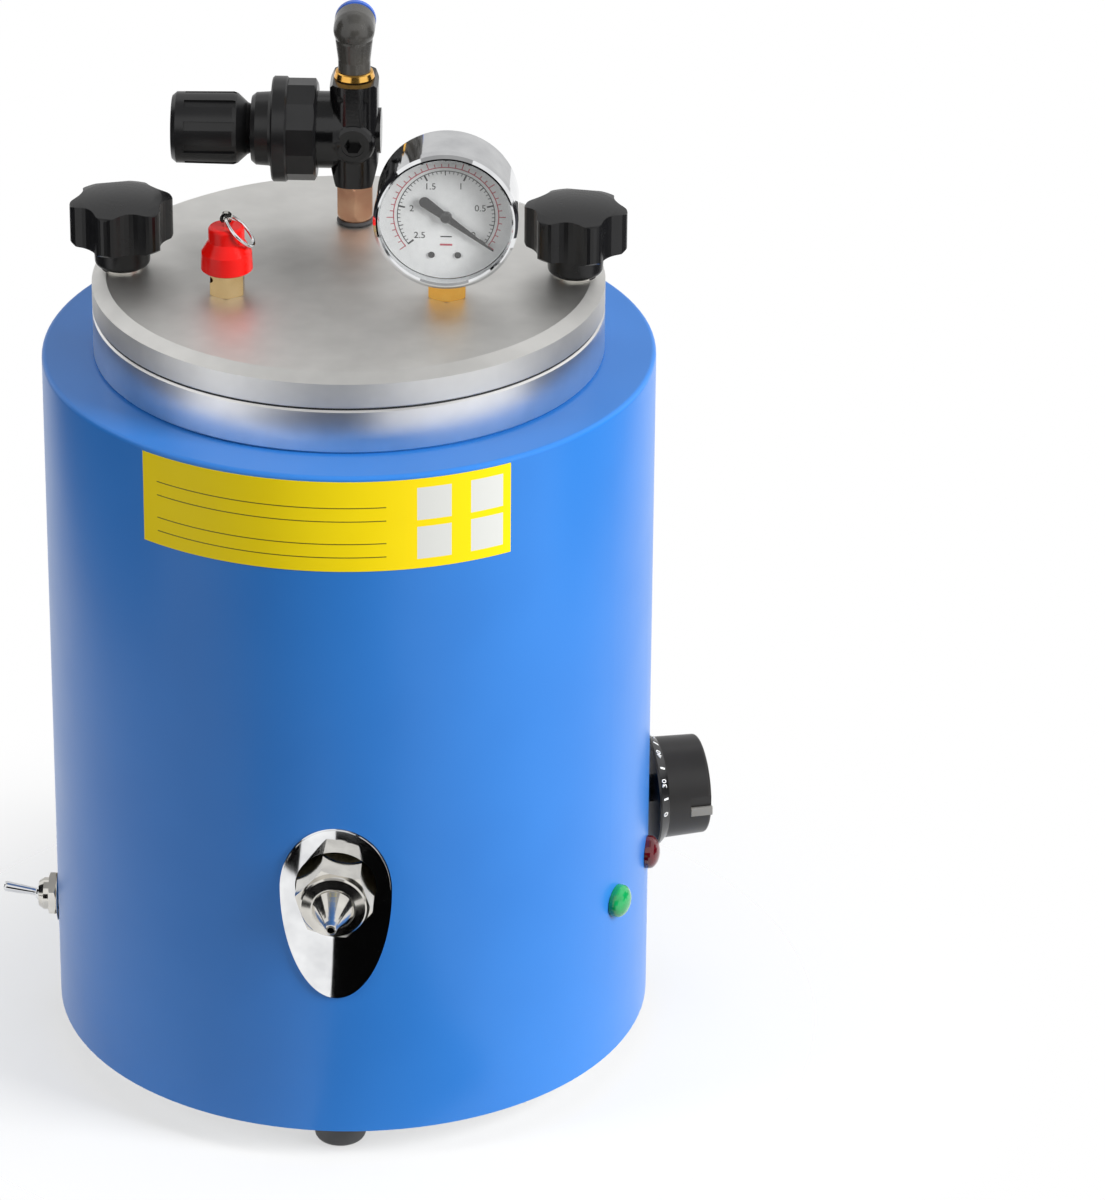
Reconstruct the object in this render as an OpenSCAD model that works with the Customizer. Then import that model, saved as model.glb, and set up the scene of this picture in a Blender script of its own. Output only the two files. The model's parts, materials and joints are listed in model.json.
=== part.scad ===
// Jewelry wax injector: a heated pressure pot in a round sheet casing, with a spring valve
// nozzle at the front and a clamped lid that carries the gauge, safety valve and regulator.
// Millimetres, +Z up, the nozzle points along -Y, the casing's axis is the Z axis and the
// feet stand on z = 0.

/* [Casing] */
// Outer radius of the round casing
casing_r = 107; // [104:0.5:125]
// Height of the casing wall
casing_h = 255; // [250:1:280]
// Thickness of the casing sheet
sheet_t = 1.2; // [0.8:0.1:2]
// Height of the rolled hem round the bottom edge
hem_h = 4; // [2:0.5:8]
// Radius of the rubber feet
foot_r = 9.6; // [7:0.1:12]
// Height of the feet, which is the gap under the casing
foot_h = 12; // [8:0.5:20]
// Distance of the feet's centres in from the casing's wall
foot_inset = 17; // [15:1:37]

/* [Pot and lid] */
// Radius of the pot's thick rim and of the lid
rim_r = 89; // [88:0.5:92]
// Height of the pot's rim above the casing
rim_t = 16; // [15:0.5:22]
// Width of the pot's rim, from its bore to its edge
rim_w = 21; // [20:0.5:28]
// Thickness of the pot's wall
pot_wall = 6; // [4:0.5:7]
// Depth of the pot from its rim to its floor
pot_depth = 183; // [176:1:190]
// Thickness of the pot's floor
pot_floor_t = 6.5; // [4:0.5:9]
// Thickness of the silicone gasket
gasket_t = 0.8; // [0.6:0.1:1.4]
// Thickness of the lid
lid_t = 11.5; // [9:0.5:16]
// Height of the bevel round the lid's top edge
lid_bevel_h = 2.5; // [1:0.5:4]
// Width of the bevel round the lid's top edge
lid_bevel_w = 4.9; // [2:0.1:6]
// Depth of the lid's spigot inside the pot
spigot_h = 6; // [3:0.5:10]

/* [Star knobs] */
// Distance of the knobs' axes in from the rim's edge
knob_inset = 10.5; // [9.5:0.5:12]
// Outer radius of a star knob's head
star_r = 18; // [15:0.5:20]
// Height of a star knob's head at its rim
star_h = 14.6; // [9:0.1:17]
// How far the head's top is domed
star_dome = 2; // [0.5:0.1:4]
// Number of lobes
star_lobes = 6; // [5:1:8]
// Radius of the hub under the head
star_hub_r = 9.6; // [8.5:0.1:11]
// Height of the hub
star_hub_h = 9.2; // [4:0.1:12]
// Radius of the clamping screw
stud_r = 4; // [3:0.5:5]
// How far the screw reaches into the pot's rim
stud_grip = 12; // [10:0.5:12.5]

/* [Nozzle] */
// Height of the nozzle's axis above the pot's floor
nozzle_up = 10.7; // [8:0.1:15]
// Width across the flats of the nozzle's nut
nozzle_nut_af = 23.6; // [22:0.1:25]
// Distance of the nut's front face from the casing's wall
nozzle_reach = 16; // [14:0.5:22]
// Length of the nozzle's cone
tip_len = 14.5; // [12:0.5:22]
// Radius of the cone at its foot, which slides in the nut
tip_guide_r = 7.2; // [6.6:0.1:7.4]
// Radius of the hole in the tip
tip_hole_r = 1.2; // [0.6:0.1:1.4]
// How far the tip can be pushed in
tip_travel = 3; // [2:0.5:4]
// Half the width of the chromed plate round the nozzle
plate_half_w = 19.4; // [17:0.1:24]
// Height of the plate above the nozzle's axis
plate_up = 22.9; // [20:0.1:28]
// Depth of the plate below the nozzle's axis
plate_down = 44.2; // [36:0.1:50]

/* [Panel parts] */
// Distance of the lamps below the pot's underside
lamp_drop = 20; // [15:0.5:30]
// Radius of a lamp's lens
lamp_r = 6; // [4:0.1:7]
// Distance of the thermostat's axis below the pot's underside
dial_drop = 15.5; // [14:0.5:25]
// Radius of the thermostat's knob
dial_knob_r = 18.6; // [15:0.1:21]
// Length of the thermostat's knob
dial_knob_h = 17; // [12:0.5:20]
// Radius of the marked skirt behind the knob
dial_skirt_r = 22; // [21:0.5:25]
// Height of the switch's axis
switch_z = 45.3; // [35:0.1:60]
// Length of the switch's lever outside its bush
lever_len = 13; // [9:0.5:18]
// Distance of the mains inlet's middle below the pot's underside
inlet_drop = 45.5; // [44:0.5:52]

/* [Lid fittings] */
// Width across the flats of the brass fittings
fitting_af = 12.7; // [12:0.1:14]
// Radius of the pressure gauge's case
gauge_r = 24.7; // [22:0.1:26]
// Depth of the pressure gauge's case
gauge_depth = 25.5; // [23:0.5:29]
// Height of the gauge's lower edge above the lid
gauge_up = 8.7; // [7:0.1:12]
// Radius of the safety valve's cap at its foot
cap_r = 8.95; // [8.4:0.05:10]
// Radius of the upper tier of the cap
cap_top_r = 6.25; // [6:0.05:7.5]
// Mean radius of the pull ring
pull_ring_r = 6.7; // [5:0.1:8]
// Half the width of the regulator's body
reg_half_w = 8.4; // [7.8:0.1:10]
// Height of the regulator's body
reg_h = 37.7; // [36:0.1:41]
// Half the depth of the regulator's body
reg_half_d = 11.5; // [10:0.5:13]
// Radius of the regulator's knob
reg_knob_r = 12.75; // [12.5:0.05:14]
// Length of the regulator's knob
reg_knob_h = 27.6; // [24:0.1:32]
// Radius of the elbow's head
elbow_head_r = 7.2; // [6.8:0.1:8]
// Radius of the elbow's upright leg
elbow_leg_r = 5.65; // [5.4:0.05:6.2]
// Radius of the air hose that the elbow takes
hose_r = 4; // [3:0.5:4]

/* [Hidden] */
$fn = 96;
hull_fn = 32;

// Clearances
run = 0.06;         // a turning or sliding fit
fit = 0.1;          // a piece seated in a hole of its own body
slack = 0.5;        // a bolt or a stem in a clearance hole
seat_gap = 0.3;     // a curved face beside a piece of another body

// Heights
casing_z0 = foot_h;
casing_z1 = casing_z0 + casing_h;
rim_z1 = casing_z1 + rim_t;
gasket_z1 = rim_z1 + gasket_t;
lid_z1 = gasket_z1 + lid_t;
pot_floor_z = rim_z1 - pot_depth;
pot_bottom_z = pot_floor_z - pot_floor_t;
nozzle_z = pot_floor_z + nozzle_up;

// Pot and the layers round it
casing_in_r = casing_r - sheet_t;
pot_bore_r = rim_r - rim_w;
pot_r = pot_bore_r + pot_wall;
pot_seat_r = pot_r + 2;
heater_t = 4;
heater_up = 21;
heater_w = 60;
heater_z0 = nozzle_z + heater_up;
heater_z1 = heater_z0 + heater_w;
jacket_r0 = pot_r + heater_t + seat_gap;
jacket_r1 = casing_in_r - seat_gap;
jacket_z0 = pot_bottom_z + 6;
jacket_z1 = casing_z1 - sheet_t - seat_gap;
floor_t = 1.5;
floor_rim_h = 8;

// Star knobs
knob_pitch_r = rim_r - knob_inset;
washer_r = 7.5;
washer_t = 1.2;
hub_z0 = lid_z1 + washer_t;
head_z0 = hub_z0 + star_hub_h;
stud_z0 = rim_z1 - stud_grip;
stud_hole_h = stud_grip + 1.5;
insert_h = 12;

// Nozzle, measured outwards from the casing's axis
nozzle_hole_r = nozzle_nut_af / sqrt(3) + 0.85;
plate_hole_r = nozzle_hole_r - 0.45;
plate_t = 1.1;
nut_front = casing_r + nozzle_reach;
nut_back = nut_front - 25;
tube_r = 7;
thread_r = 9;
seat_back = pot_r + 13;
seat_front = seat_back + 5;
tip_stem_r = 2;
tip_end_r = 2;
tip_seat_r = 3;
valve_disc_r = 4.6;
shoulder_r = tip_guide_r + 0.8;
nut_lip = 5;
shoulder_front = nut_front - nut_lip - run;
shoulder_back = shoulder_front - 3;
body_front = shoulder_back - tip_travel - fit;
spring_wire_r = 0.5;

// Small pieces of the casing
foot_pitch_r = casing_r - foot_inset;
lamp_z = pot_bottom_z - lamp_drop;
dial_z = pot_bottom_z - dial_drop;
inlet_z = pot_bottom_z - inlet_drop;
foot_screw_r = 2;
foot_screw_head_r = 3.8;
foot_screw_head_h = 2.2;
foot_screw_seat = foot_h - 7;
foot_nut_af = 7;
foot_nut_h = 3.2;
heater_gap = 3;
heater_ear = 12;
heater_screw_r = 2;
lamp_thread_r = lamp_r - 1.3;
lamp_body_r = lamp_r + 0.7;
lamp_body_h = 22;
dial_bush_r = 5;
dial_shaft_r = 3;
dial_body_w = 30;
dial_body_h = 26;
dial_standoff = 2.4;
skirt_t = 4.4;
bulb_r = 3.2;
bulb_tube_r = 1;
switch_bush_r = 5.9;
switch_nut_af = 15;
switch_washer_r = 9.8;
washer_dish = 1.05;
switch_ball_r = 3.2;
lever_r = 1.8;
lever_rest = 11;
inlet_w = 20;
inlet_h = 28;
inlet_flange_w = 24;
inlet_flange_h = 50;
inlet_flange_t = 3;
inlet_depth = 24;
inlet_screw_r = 1.75;
inlet_screw_pitch = 40;

// Panel parts, as angles from the front towards +X
lamp_green_at = 64;
lamp_red_at = 84;
dial_at = 105;
switch_at = -90;
inlet_at = 180;

// Lid fittings, each as its distance from the axis and its angle from the front towards +X
gauge_at = [39.5, 62];
valve_at = [45.4, -63.8];
reg_at = [43, 180];
port_r = 4.8;
port_depth = lid_t + 3;

// Heads of the star knobs
lobe_r = 4.6;
hollow_r = 10;
hollow_steps = 6;

// Safety valve, in heights above the lid
valve_hex_h = 8.7;
valve_af = 11.4;
valve_cap_h = 16;
valve_roof_t = 3;
valve_thread_r = 5;
valve_seat_z = 3.1;
valve_inlet_r = 2;
valve_chamber_r = 3.4;
valve_disc_t = 2;
valve_rod_r = 1.2;
valve_eye_z = 27.7;
valve_eye_r = 2.1;
pull_wire_r = 0.6;
pull_rest = 46;

// Gauge, with depths in front of its stem
gauge_front = 16.5;
gauge_neck_r = 5;
dial_plane = gauge_front - 7;
needle_pin_r = 0.8;
needle_rest = -37;
needle_len = 20.2;
needle_tail = 11;

// Regulator: heights above the lid, and lengths from the port's axis along the bonnet
nipple_af = 12.2;
nipple_h = 17;
bonnet_z = 34.7;
port_z = 33.7;
port_pad_r = 7.6;
plug_r = 4.1;
boss_r = 13.5;
boss_end = 14.5;
sleeve_start = boss_end + 0.8;
ring_start = 13;
ring_end = 23.2;
ring_r = 17.9;
flange_r = 18.5;
flange_end = 28.7;
neck_r = 13;
bonnet_end = 36;
spring_room_r = 10;
spindle_r = 3;
plate_z = 25.4;
knob_start = bonnet_end + 0.3;
knob_end = knob_start + reg_knob_h;
knob_flutes = 9;

// Elbow
stem_collar_r = 7.1;
stem_collar_h = 2.6;
stem_spigot_r = 3.6;
elbow_z = 72.3;
elbow_face = 6.5;
collet_r = 5.4;
collet_in = 3.4;
collar_travel = 1.5;
hose_fit = 0.05;
hose_stop = -1.5;

// Colours
BLUE = "#3f7cc4";
ALU = "#b5b5b3";
CHROME = "#d9dadc";
STEEL = "#c6c8ca";
BRASS = "#d9a53a";
COPPER = "#c98f6b";
BLACK = "#26272a";
RUBBER = "#1b1b1c";
SILICONE = "#4a4a4c";
RED = "#e31b12";

// Places what is drawn along +Z so that it points outwards from the casing at an angle
// from the front towards +X: local X runs to the right, seen from outside, and Y upwards.
module outward(angle, z) {
    translate([0, 0, z]) rotate([0, 0, angle]) rotate([90, 0, 0]) children();
}

// Places a lid fitting on its port, which is given as [distance from the axis, angle]
module on_port(port) {
    translate([port[0] * sin(port[1]), -port[0] * cos(port[1]), lid_z1]) children();
}

// A solid of revolution round local Z, from [radius, height] points
module turned(points) {
    rotate_extrude() polygon(points);
}

// A plain ring or tube between two heights
module tube(r_out, r_in, z0, z1) {
    turned([[r_in, z0], [r_out, z0], [r_out, z1], [r_in, z1]]);
}

// A disc or rod between two heights
module rod(r, z0, z1) {
    translate([0, 0, z0]) cylinder(r = r, h = z1 - z0);
}

// A hexagon prism with a corner towards local Y, its ends chamfered as on a turned nut;
// rise is the chamfer's height as a share of its width
module hex(af, z0, z1, chamfer = 0.8, rise = 0.6) {
    corner = af / sqrt(3);
    intersection() {
        rotate([0, 0, 30]) translate([0, 0, z0]) cylinder(r = corner, h = z1 - z0, $fn = 6);
        turned([[0, z0], [corner - chamfer, z0], [corner, z0 + chamfer * rise],
            [corner, z1 - chamfer * rise], [corner - chamfer, z1], [0, z1]]);
    }
}

// Points of an arc, for rounded profiles
function arc(cx, cy, r, a0, a1, steps = 6) =
    [for (i = [0:steps]) let(a = a0 + (a1 - a0) * i / steps) [cx + r * cos(a), cy + r * sin(a)]];

// A round wire wound into a helix round local Z, with its end turns closed up
module coil_spring(coil_r, wire_r, z0, z1, turns) {
    sides = 6;
    per_turn = 14;
    steps = turns * per_turn;
    closed = 2 * wire_r + 0.1;
    open = (z1 - z0 - 2 * wire_r - 2 * closed) / (turns - 2);
    function climb(n) = n < 1 ? n * closed
        : closed + min(n - 1, turns - 2) * open + max(n - turns + 1, 0) * closed;
    points = [for (i = [0:steps]) let(n = i / per_turn, a = 360 * n)
        for (j = [0:sides - 1]) let(b = 360 * j / sides, r = coil_r + wire_r * cos(b))
            [r * cos(a), r * sin(a), z0 + wire_r + climb(n) + wire_r * sin(b)]];
    faces = concat(
        [[for (j = [0:sides - 1]) j]],
        [[for (j = [sides - 1:-1:0]) steps * sides + j]],
        [for (i = [0:steps - 1], j = [0:sides - 1]) let(k = (j + 1) % sides)
            [i * sides + j, (i + 1) * sides + j, i * sides + k]],
        [for (i = [0:steps - 1], j = [0:sides - 1]) let(k = (j + 1) % sides)
            [i * sides + k, (i + 1) * sides + j, (i + 1) * sides + k]]);
    polyhedron(points, faces);
}

// ---- Casing and what stands under it ----

// The round wall with its flat top ring and the hem at the bottom, cut for the panel parts
module casing() {
    edge_r = 1.6;
    color(BLUE) difference() {
        turned(concat(
            [[casing_in_r - sheet_t, casing_z0], [casing_r, casing_z0]],
            arc(casing_r - edge_r, casing_z1 - edge_r, edge_r, 0, 90),
            [[pot_seat_r, casing_z1], [pot_seat_r, casing_z1 - sheet_t],
                [casing_in_r, casing_z1 - sheet_t], [casing_in_r, casing_z0 + hem_h],
                [casing_in_r - sheet_t, casing_z0 + hem_h]]));
        outward(0, nozzle_z) rod(nozzle_hole_r, casing_r / 2, casing_r + 1);
        outward(lamp_green_at, lamp_z) rod(lamp_thread_r + fit, casing_r / 2, casing_r + 1);
        outward(lamp_red_at, lamp_z) rod(lamp_thread_r + fit, casing_r / 2, casing_r + 1);
        outward(dial_at, dial_z) rod(dial_bush_r + fit, casing_r / 2, casing_r + 1);
        outward(switch_at, switch_z) rod(switch_bush_r + fit, casing_r / 2, casing_r + 1);
        outward(inlet_at, inlet_z) {
            inlet_block(inlet_w + 2 * fit, inlet_h + 2 * fit, casing_r / 2, casing_r + 2);
            inlet_screw_places() rod(inlet_screw_r + slack / 2, casing_r / 2, casing_r + 2);
        }
    }
}

// The floor pan, with its rim turned up inside the hem
module base_plate() {
    pan_r = casing_in_r - sheet_t - fit;
    color(STEEL) difference() {
        union() {
            rod(pan_r, casing_z0, casing_z0 + floor_t);
            tube(pan_r, pan_r - floor_t, casing_z0, casing_z0 + floor_rim_h);
        }
        at_feet() rod(foot_screw_r + slack / 2, casing_z0 - 1, casing_z0 + floor_t + 1);
    }
}

module at_feet() {
    for (a = [0:90:270]) rotate([0, 0, a]) translate([0, -foot_pitch_r, 0]) children();
}

// Four rubber feet with a rounded foot and a counterbore for the screw
module feet() {
    round_r = 2.5;
    color(RUBBER) at_feet() difference() {
        turned(concat([[0, 0]], arc(foot_r - round_r - 0.5, round_r, round_r, -90, 0),
            [[foot_r, foot_h], [0, foot_h]]));
        rod(foot_screw_r + slack / 2, -1, foot_h + 1);
        rod(foot_screw_head_r + slack, -1, foot_screw_seat);
    }
}

// Pan-head screws through the feet, with a nut each on the floor pan
module foot_screws() {
    nut_z = casing_z0 + floor_t;
    color(STEEL) at_feet() {
        rod(foot_screw_r, foot_screw_seat, nut_z + foot_nut_h + 1.5);
        turned(concat([[0, foot_screw_seat - foot_screw_head_h]],
            arc(foot_screw_head_r - 1, foot_screw_seat - foot_screw_head_h + 1, 1, -90, 0),
            [[foot_screw_head_r, foot_screw_seat], [0, foot_screw_seat]]));
        hex(foot_nut_af, nut_z, nut_z + foot_nut_h, 0.4);
    }
}

// ---- Pot, heater and insulation ----

// The cast and turned pot: a thick rim that stands on the casing, a straight wall and a
// flat floor, with a tapped hole for the nozzle and two for the clamp screws
module wax_pot() {
    corner = 5;
    color(ALU) difference() {
        turned(concat(
            [[0, pot_bottom_z]],
            arc(pot_r - corner, pot_bottom_z + corner, corner, -90, 0),
            [[pot_r, casing_z1 + fit], [rim_r - 0.8, casing_z1 + fit],
                [rim_r, casing_z1 + fit + 0.8], [rim_r, rim_z1 - 0.6], [rim_r - 0.6, rim_z1],
                [pot_bore_r, rim_z1]],
            arc(pot_bore_r - corner, pot_floor_z + corner, corner, 0, -90),
            [[0, pot_floor_z]]));
        outward(0, nozzle_z) rod(tube_r, pot_bore_r / 2, pot_r + 1);
        at_knobs() rod(stud_r + run, rim_z1 - stud_hole_h, rim_z1 + 1);
    }
}

module at_knobs() {
    for (side = [-1, 1]) at_knob(side) children();
}

module at_knob(side) {
    translate([side * knob_pitch_r, 0, 0]) children();
}

// Flat silicone ring between the pot's rim and the lid
module gasket() {
    color(SILICONE) difference() {
        tube(rim_r - 0.8, pot_bore_r + 1, rim_z1, gasket_z1);
        at_knobs() rod(stud_r + slack, rim_z1 - 1, gasket_z1 + 1);
    }
}

// Mica band heater: an open band with two clamping ears at the back
module band_heater() {
    ear_w = 2.5;
    r1 = pot_r + heater_t;
    color(STEEL) difference() {
        union() {
            tube(r1, pot_r + 0.05, heater_z0, heater_z1);
            translate([-heater_gap / 2 - ear_w, r1 - 1, heater_z0])
                cube([heater_gap + 2 * ear_w, heater_ear, heater_z1 - heater_z0]);
        }
        translate([-heater_gap / 2, pot_r - 5, heater_z0 - 1])
            cube([heater_gap, heater_ear + 12, heater_z1 - heater_z0 + 2]);
        heater_screw_axis() rod(heater_screw_r + fit, -15, 15);
    }
}

module heater_screw_axis() {
    translate([0, pot_r + heater_t + heater_ear / 2, (heater_z0 + heater_z1) / 2])
        rotate([0, 90, 0]) children();
}

// The screw that pulls the band tight, with its nut
module heater_screw() {
    side = heater_gap / 2 + 2.5;
    color(STEEL) heater_screw_axis() {
        rod(heater_screw_r, -side, side + 5);
        rod(3.4, -side - 2.8, -side);
        hex(7, side, side + 3, 0.4);
    }
}

// Mineral-wool jacket between the pot and the casing, cut round the nozzle and the clamp
module insulation_jacket() {
    notch_w = 26;
    color("#d8cfae") difference() {
        tube(jacket_r1, jacket_r0, jacket_z0, jacket_z1);
        outward(0, nozzle_z) rod(nozzle_hole_r + 1, pot_r - 2, casing_r);
        translate([-notch_w / 2, pot_r - 2, heater_z0 - 3])
            cube([notch_w, heater_ear + 9, heater_z1 - heater_z0 + 6]);
    }
}

// ---- Nozzle ----

// Outline of the chromed plate: half an ellipse above and a longer half below the axis
module egg(grow = 0) {
    wide_at = -1.5;
    up = plate_up - wide_at + grow;
    down = plate_down + wide_at + grow;
    polygon([for (a = [0:4:356]) [(plate_half_w + grow) * cos(a),
        wide_at + (sin(a) > 0 ? up : down) * sin(a)]]);
}

// Chromed plate, curved to the casing, with a bevelled edge
module nozzle_plate() {
    edge = 0.5;
    color(CHROME) difference() {
        union() {
            intersection() {
                outward(0, nozzle_z) linear_extrude(height = casing_r * 2) egg();
                tube(casing_r + plate_t - edge, casing_r + 0.02, casing_z0, casing_z1);
            }
            intersection() {
                outward(0, nozzle_z) linear_extrude(height = casing_r * 2) egg(-edge);
                tube(casing_r + plate_t, casing_r + 0.02, casing_z0, casing_z1);
            }
        }
        outward(0, nozzle_z) rod(plate_hole_r, casing_r / 2, casing_r + 5);
    }
}

// Valve body: screwed into the pot, with a shoulder against it, the valve seat inside and
// a chamber for the spring; the nut screws onto its front end
module nozzle_body() {
    flange = 3.5;
    color(BRASS) outward(0, nozzle_z) turned([[tip_seat_r, seat_back],
        [tube_r - 1.6, seat_back], [tube_r - 1.6, pot_bore_r + 0.4],
        [tube_r, pot_bore_r + 0.4], [tube_r, pot_r + 0.2], [tube_r + 3, pot_r + 0.2],
        [tube_r + 3, pot_r + flange], [thread_r, pot_r + flange + 1], [thread_r, body_front],
        [tip_guide_r, body_front], [tip_guide_r, seat_front], [tip_seat_r, seat_front]]);
}

// Hexagon nut with a turned front, which keeps the tip in and carries the thread
module nozzle_nut() {
    face_r = nozzle_nut_af / 2 - 0.3;
    twist = 18;
    color(STEEL) outward(0, nozzle_z) difference() {
        union() {
            rotate([0, 0, twist]) hex(nozzle_nut_af, nut_back, nut_front - 2.8, 1.2);
            turned([[0, nut_front - 6], [face_r, nut_front - 6], [face_r, nut_front - 1.3],
                [face_r - 0.5, nut_front - 0.7], [tip_guide_r + 0.6, nut_front],
                [0, nut_front]]);
        }
        rod(thread_r, nut_back - 1, body_front);
        rod(shoulder_r + run, body_front - 0.01, nut_front - nut_lip);
        rod(tip_guide_r + run, nut_front - nut_lip - 0.01, nut_front + 1);
    }
}

// Moving tip: cone, guide, stop shoulder, hollow stem and valve disc in one turned piece
module nozzle_tip() {
    steps = 7;
    lip = 0.6;
    cone = concat([for (i = [0:steps - 1]) let(t = i / steps)
            [tip_end_r + (tip_guide_r - tip_end_r) * pow(1 - t, 1.25),
                nut_front + lip + (tip_len - 2 * lip) * t]],
        arc(tip_end_r - lip, nut_front + tip_len - lip, lip, 0, 90, 3),
        [[0, nut_front + tip_len]]);
    disc_back = seat_back - 3;
    color(CHROME) outward(0, nozzle_z) difference() {
        turned(concat([[0, disc_back], [valve_disc_r - 0.5, disc_back],
            [valve_disc_r, disc_back + 0.5], [valve_disc_r, seat_back - run],
            [tip_stem_r, seat_back - run], [tip_stem_r, shoulder_back],
            [shoulder_r, shoulder_back], [shoulder_r, shoulder_front],
            [tip_guide_r, shoulder_front]], cone));
        rod(tip_hole_r, seat_front + 4, nut_front + tip_len + 1);
        translate([0, 0, seat_front + 5]) rotate([90, 0, 0])
            cylinder(r = tip_hole_r * 0.7, h = 3 * tip_stem_r, center = true);
    }
}

// Return spring between the seat and the tip's shoulder
module nozzle_spring() {
    color(STEEL) outward(0, nozzle_z)
        coil_spring(tip_guide_r - 0.6 - spring_wire_r, spring_wire_r, seat_front + 0.05,
            shoulder_back - 0.05, 9);
}

// ---- Thermostat ----

// Switch block behind the casing, with the threaded bush that holds it through the wall
module thermostat_body() {
    front = casing_in_r - 1.8;
    color(BLACK) outward(dial_at, dial_z) difference() {
        union() {
            translate([-dial_body_w / 2, -dial_body_w / 2, front - dial_body_h])
                cube([dial_body_w, dial_body_w, dial_body_h]);
            rod(dial_bush_r, front - 1, casing_r + dial_standoff - 0.4);
        }
        rod(dial_shaft_r + run, front - 12, casing_r + 8);
    }
}

// Sensing bulb against the pot's floor, with its capillary tube to the switch block
module thermostat_bulb() {
    block_back = casing_in_r - 1.8 - dial_body_h;
    bulb_z = pot_bottom_z - bulb_r - fit;
    color(COPPER) outward(dial_at, bulb_z) {
        rod(bulb_tube_r, block_back - 22, block_back);
        turned(concat([[0, 6]], arc(bulb_r - 1, 7, 1, -90, 0),
            [[bulb_r, block_back - 24], [bulb_tube_r, block_back - 21],
                [0, block_back - 21]]));
    }
}

// Steel shaft with a flat for the knob
module thermostat_shaft() {
    end = casing_r + dial_standoff + skirt_t + dial_knob_h - 4;
    color(STEEL) outward(dial_at, dial_z) difference() {
        rod(dial_shaft_r, casing_in_r - 12, end);
        translate([dial_shaft_r - 1.5, -5, end - 9]) cube([5, 10, 10]);
    }
}

// Drum-shaped knob with a domed face, a finger rib across it and a pointer notch
module thermostat_knob() {
    back = casing_r + dial_standoff + skirt_t;
    front = back + dial_knob_h;
    round_r = 1.2;
    draft = 0.5;
    pointer = [6, 8, 9];
    color(BLACK) outward(dial_at, dial_z) difference() {
        turned(concat([[0, back], [dial_knob_r, back]],
            arc(dial_knob_r - draft - round_r, front - 1 - round_r, round_r, 0, 80),
            [[dial_knob_r * 0.4, front], [0, front]]));
        rod(dial_shaft_r + 0.02, back - 1, front - 4);
        translate([-dial_knob_r + 1.8 - pointer.x, -pointer.y / 2, front - pointer.z])
            cube(pointer + [0, 0, 1]);
        for (side = [-1, 1]) scale_pocket(side, front);
    }
}

// Finger recess beside the rib on the knob's face
module scale_pocket(side, front) {
    rib = 4.5;
    pocket_r = dial_knob_r - 4;
    intersection() {
        rod(pocket_r, front - 2.2, front + 1);
        translate([side > 0 ? rib : -rib - 2 * pocket_r, -pocket_r, front - 3])
            cube([2 * pocket_r, 2 * pocket_r, 6]);
    }
}

// Marked skirt that turns with the knob
module thermostat_skirt() {
    back = casing_r + dial_standoff;
    color(BLACK) outward(dial_at, dial_z) turned([[dial_shaft_r + 0.02, back],
        [dial_skirt_r, back], [dial_skirt_r, back + 0.8],
        [dial_knob_r + 0.3, back + skirt_t - 0.02],
        [dial_shaft_r + 0.02, back + skirt_t - 0.02]]);
}

// ---- Lamps ----

// Domed lens with its neck through the casing
module lamp(angle, tint) {
    lens_h = 4.6;
    color(tint) outward(angle, lamp_z) turned(concat(
        [[0, casing_in_r - 4], [lamp_thread_r, casing_in_r - 4], [lamp_thread_r, casing_r + 0.05],
            [lamp_r, casing_r + 0.05], [lamp_r, casing_r + 1.4]],
        [for (a = [10:10:80]) [lamp_r * cos(a), casing_r + 1.4 + (lens_h - 1) * sin(a)]],
        [[0, casing_r + 0.4 + lens_h]]));
}

module green_lamp() {
    lamp(lamp_green_at, "#13a05a");
}

module red_lamp() {
    lamp(lamp_red_at, "#9e1020");
}

// Lamp holders behind the casing, each with two tabs for its leads
module lamp_bodies() {
    front = casing_in_r - 1;
    color(BLACK) for (angle = [lamp_green_at, lamp_red_at]) outward(angle, lamp_z) {
        difference() {
            rod(lamp_body_r, front - lamp_body_h, front);
            rod(lamp_thread_r + 0.02, casing_in_r - 4, front + 1);
        }
        for (side = [-1, 1]) translate([side * 2.6 - 0.4, -1.4, front - lamp_body_h - 6])
            cube([0.8, 2.8, 6.5]);
    }
}

// ---- Switch ----

// Toggle body inside, with its threaded bush through the wall and a socket for the lever
module switch_body() {
    front = casing_in_r - 0.5;
    bush_end = casing_r + 7.5;
    ball_at = bush_end - 1.4;
    color(STEEL) outward(switch_at, switch_z) difference() {
        union() {
            translate([-6.5, -9.5, front - 20]) cube([13, 19, 19.6]);
            turned([[0, front - 1], [switch_bush_r, front - 1], [switch_bush_r, bush_end - 1.8],
                [switch_bush_r - 1.2, bush_end], [0, bush_end]]);
            for (y = [-5, 0, 5]) translate([-0.4, y - 1.2, front - 27]) cube([0.8, 2.4, 8]);
        }
        translate([0, 0, ball_at]) sphere(r = switch_ball_r + run);
        rod(switch_ball_r + run, ball_at, bush_end + 1);
    }
}

module switch_nut() {
    z0 = casing_r + washer_dish + 0.04;
    color(STEEL) outward(switch_at, switch_z) difference() {
        hex(switch_nut_af, z0, z0 + 2.6, 0.8);
        rod(switch_bush_r, z0 - 1, z0 + 4);
    }
}

// Dished washer under the nut
module switch_washer() {
    z0 = casing_r + 0.02;
    color(CHROME) outward(switch_at, switch_z) turned([[switch_bush_r + 0.05, z0 + 0.3],
        [switch_washer_r - 0.5, z0], [switch_washer_r, z0 + 0.4],
        [switch_bush_r + 1.8, z0 + washer_dish], [switch_bush_r + 0.05, z0 + washer_dish]]);
}

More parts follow.
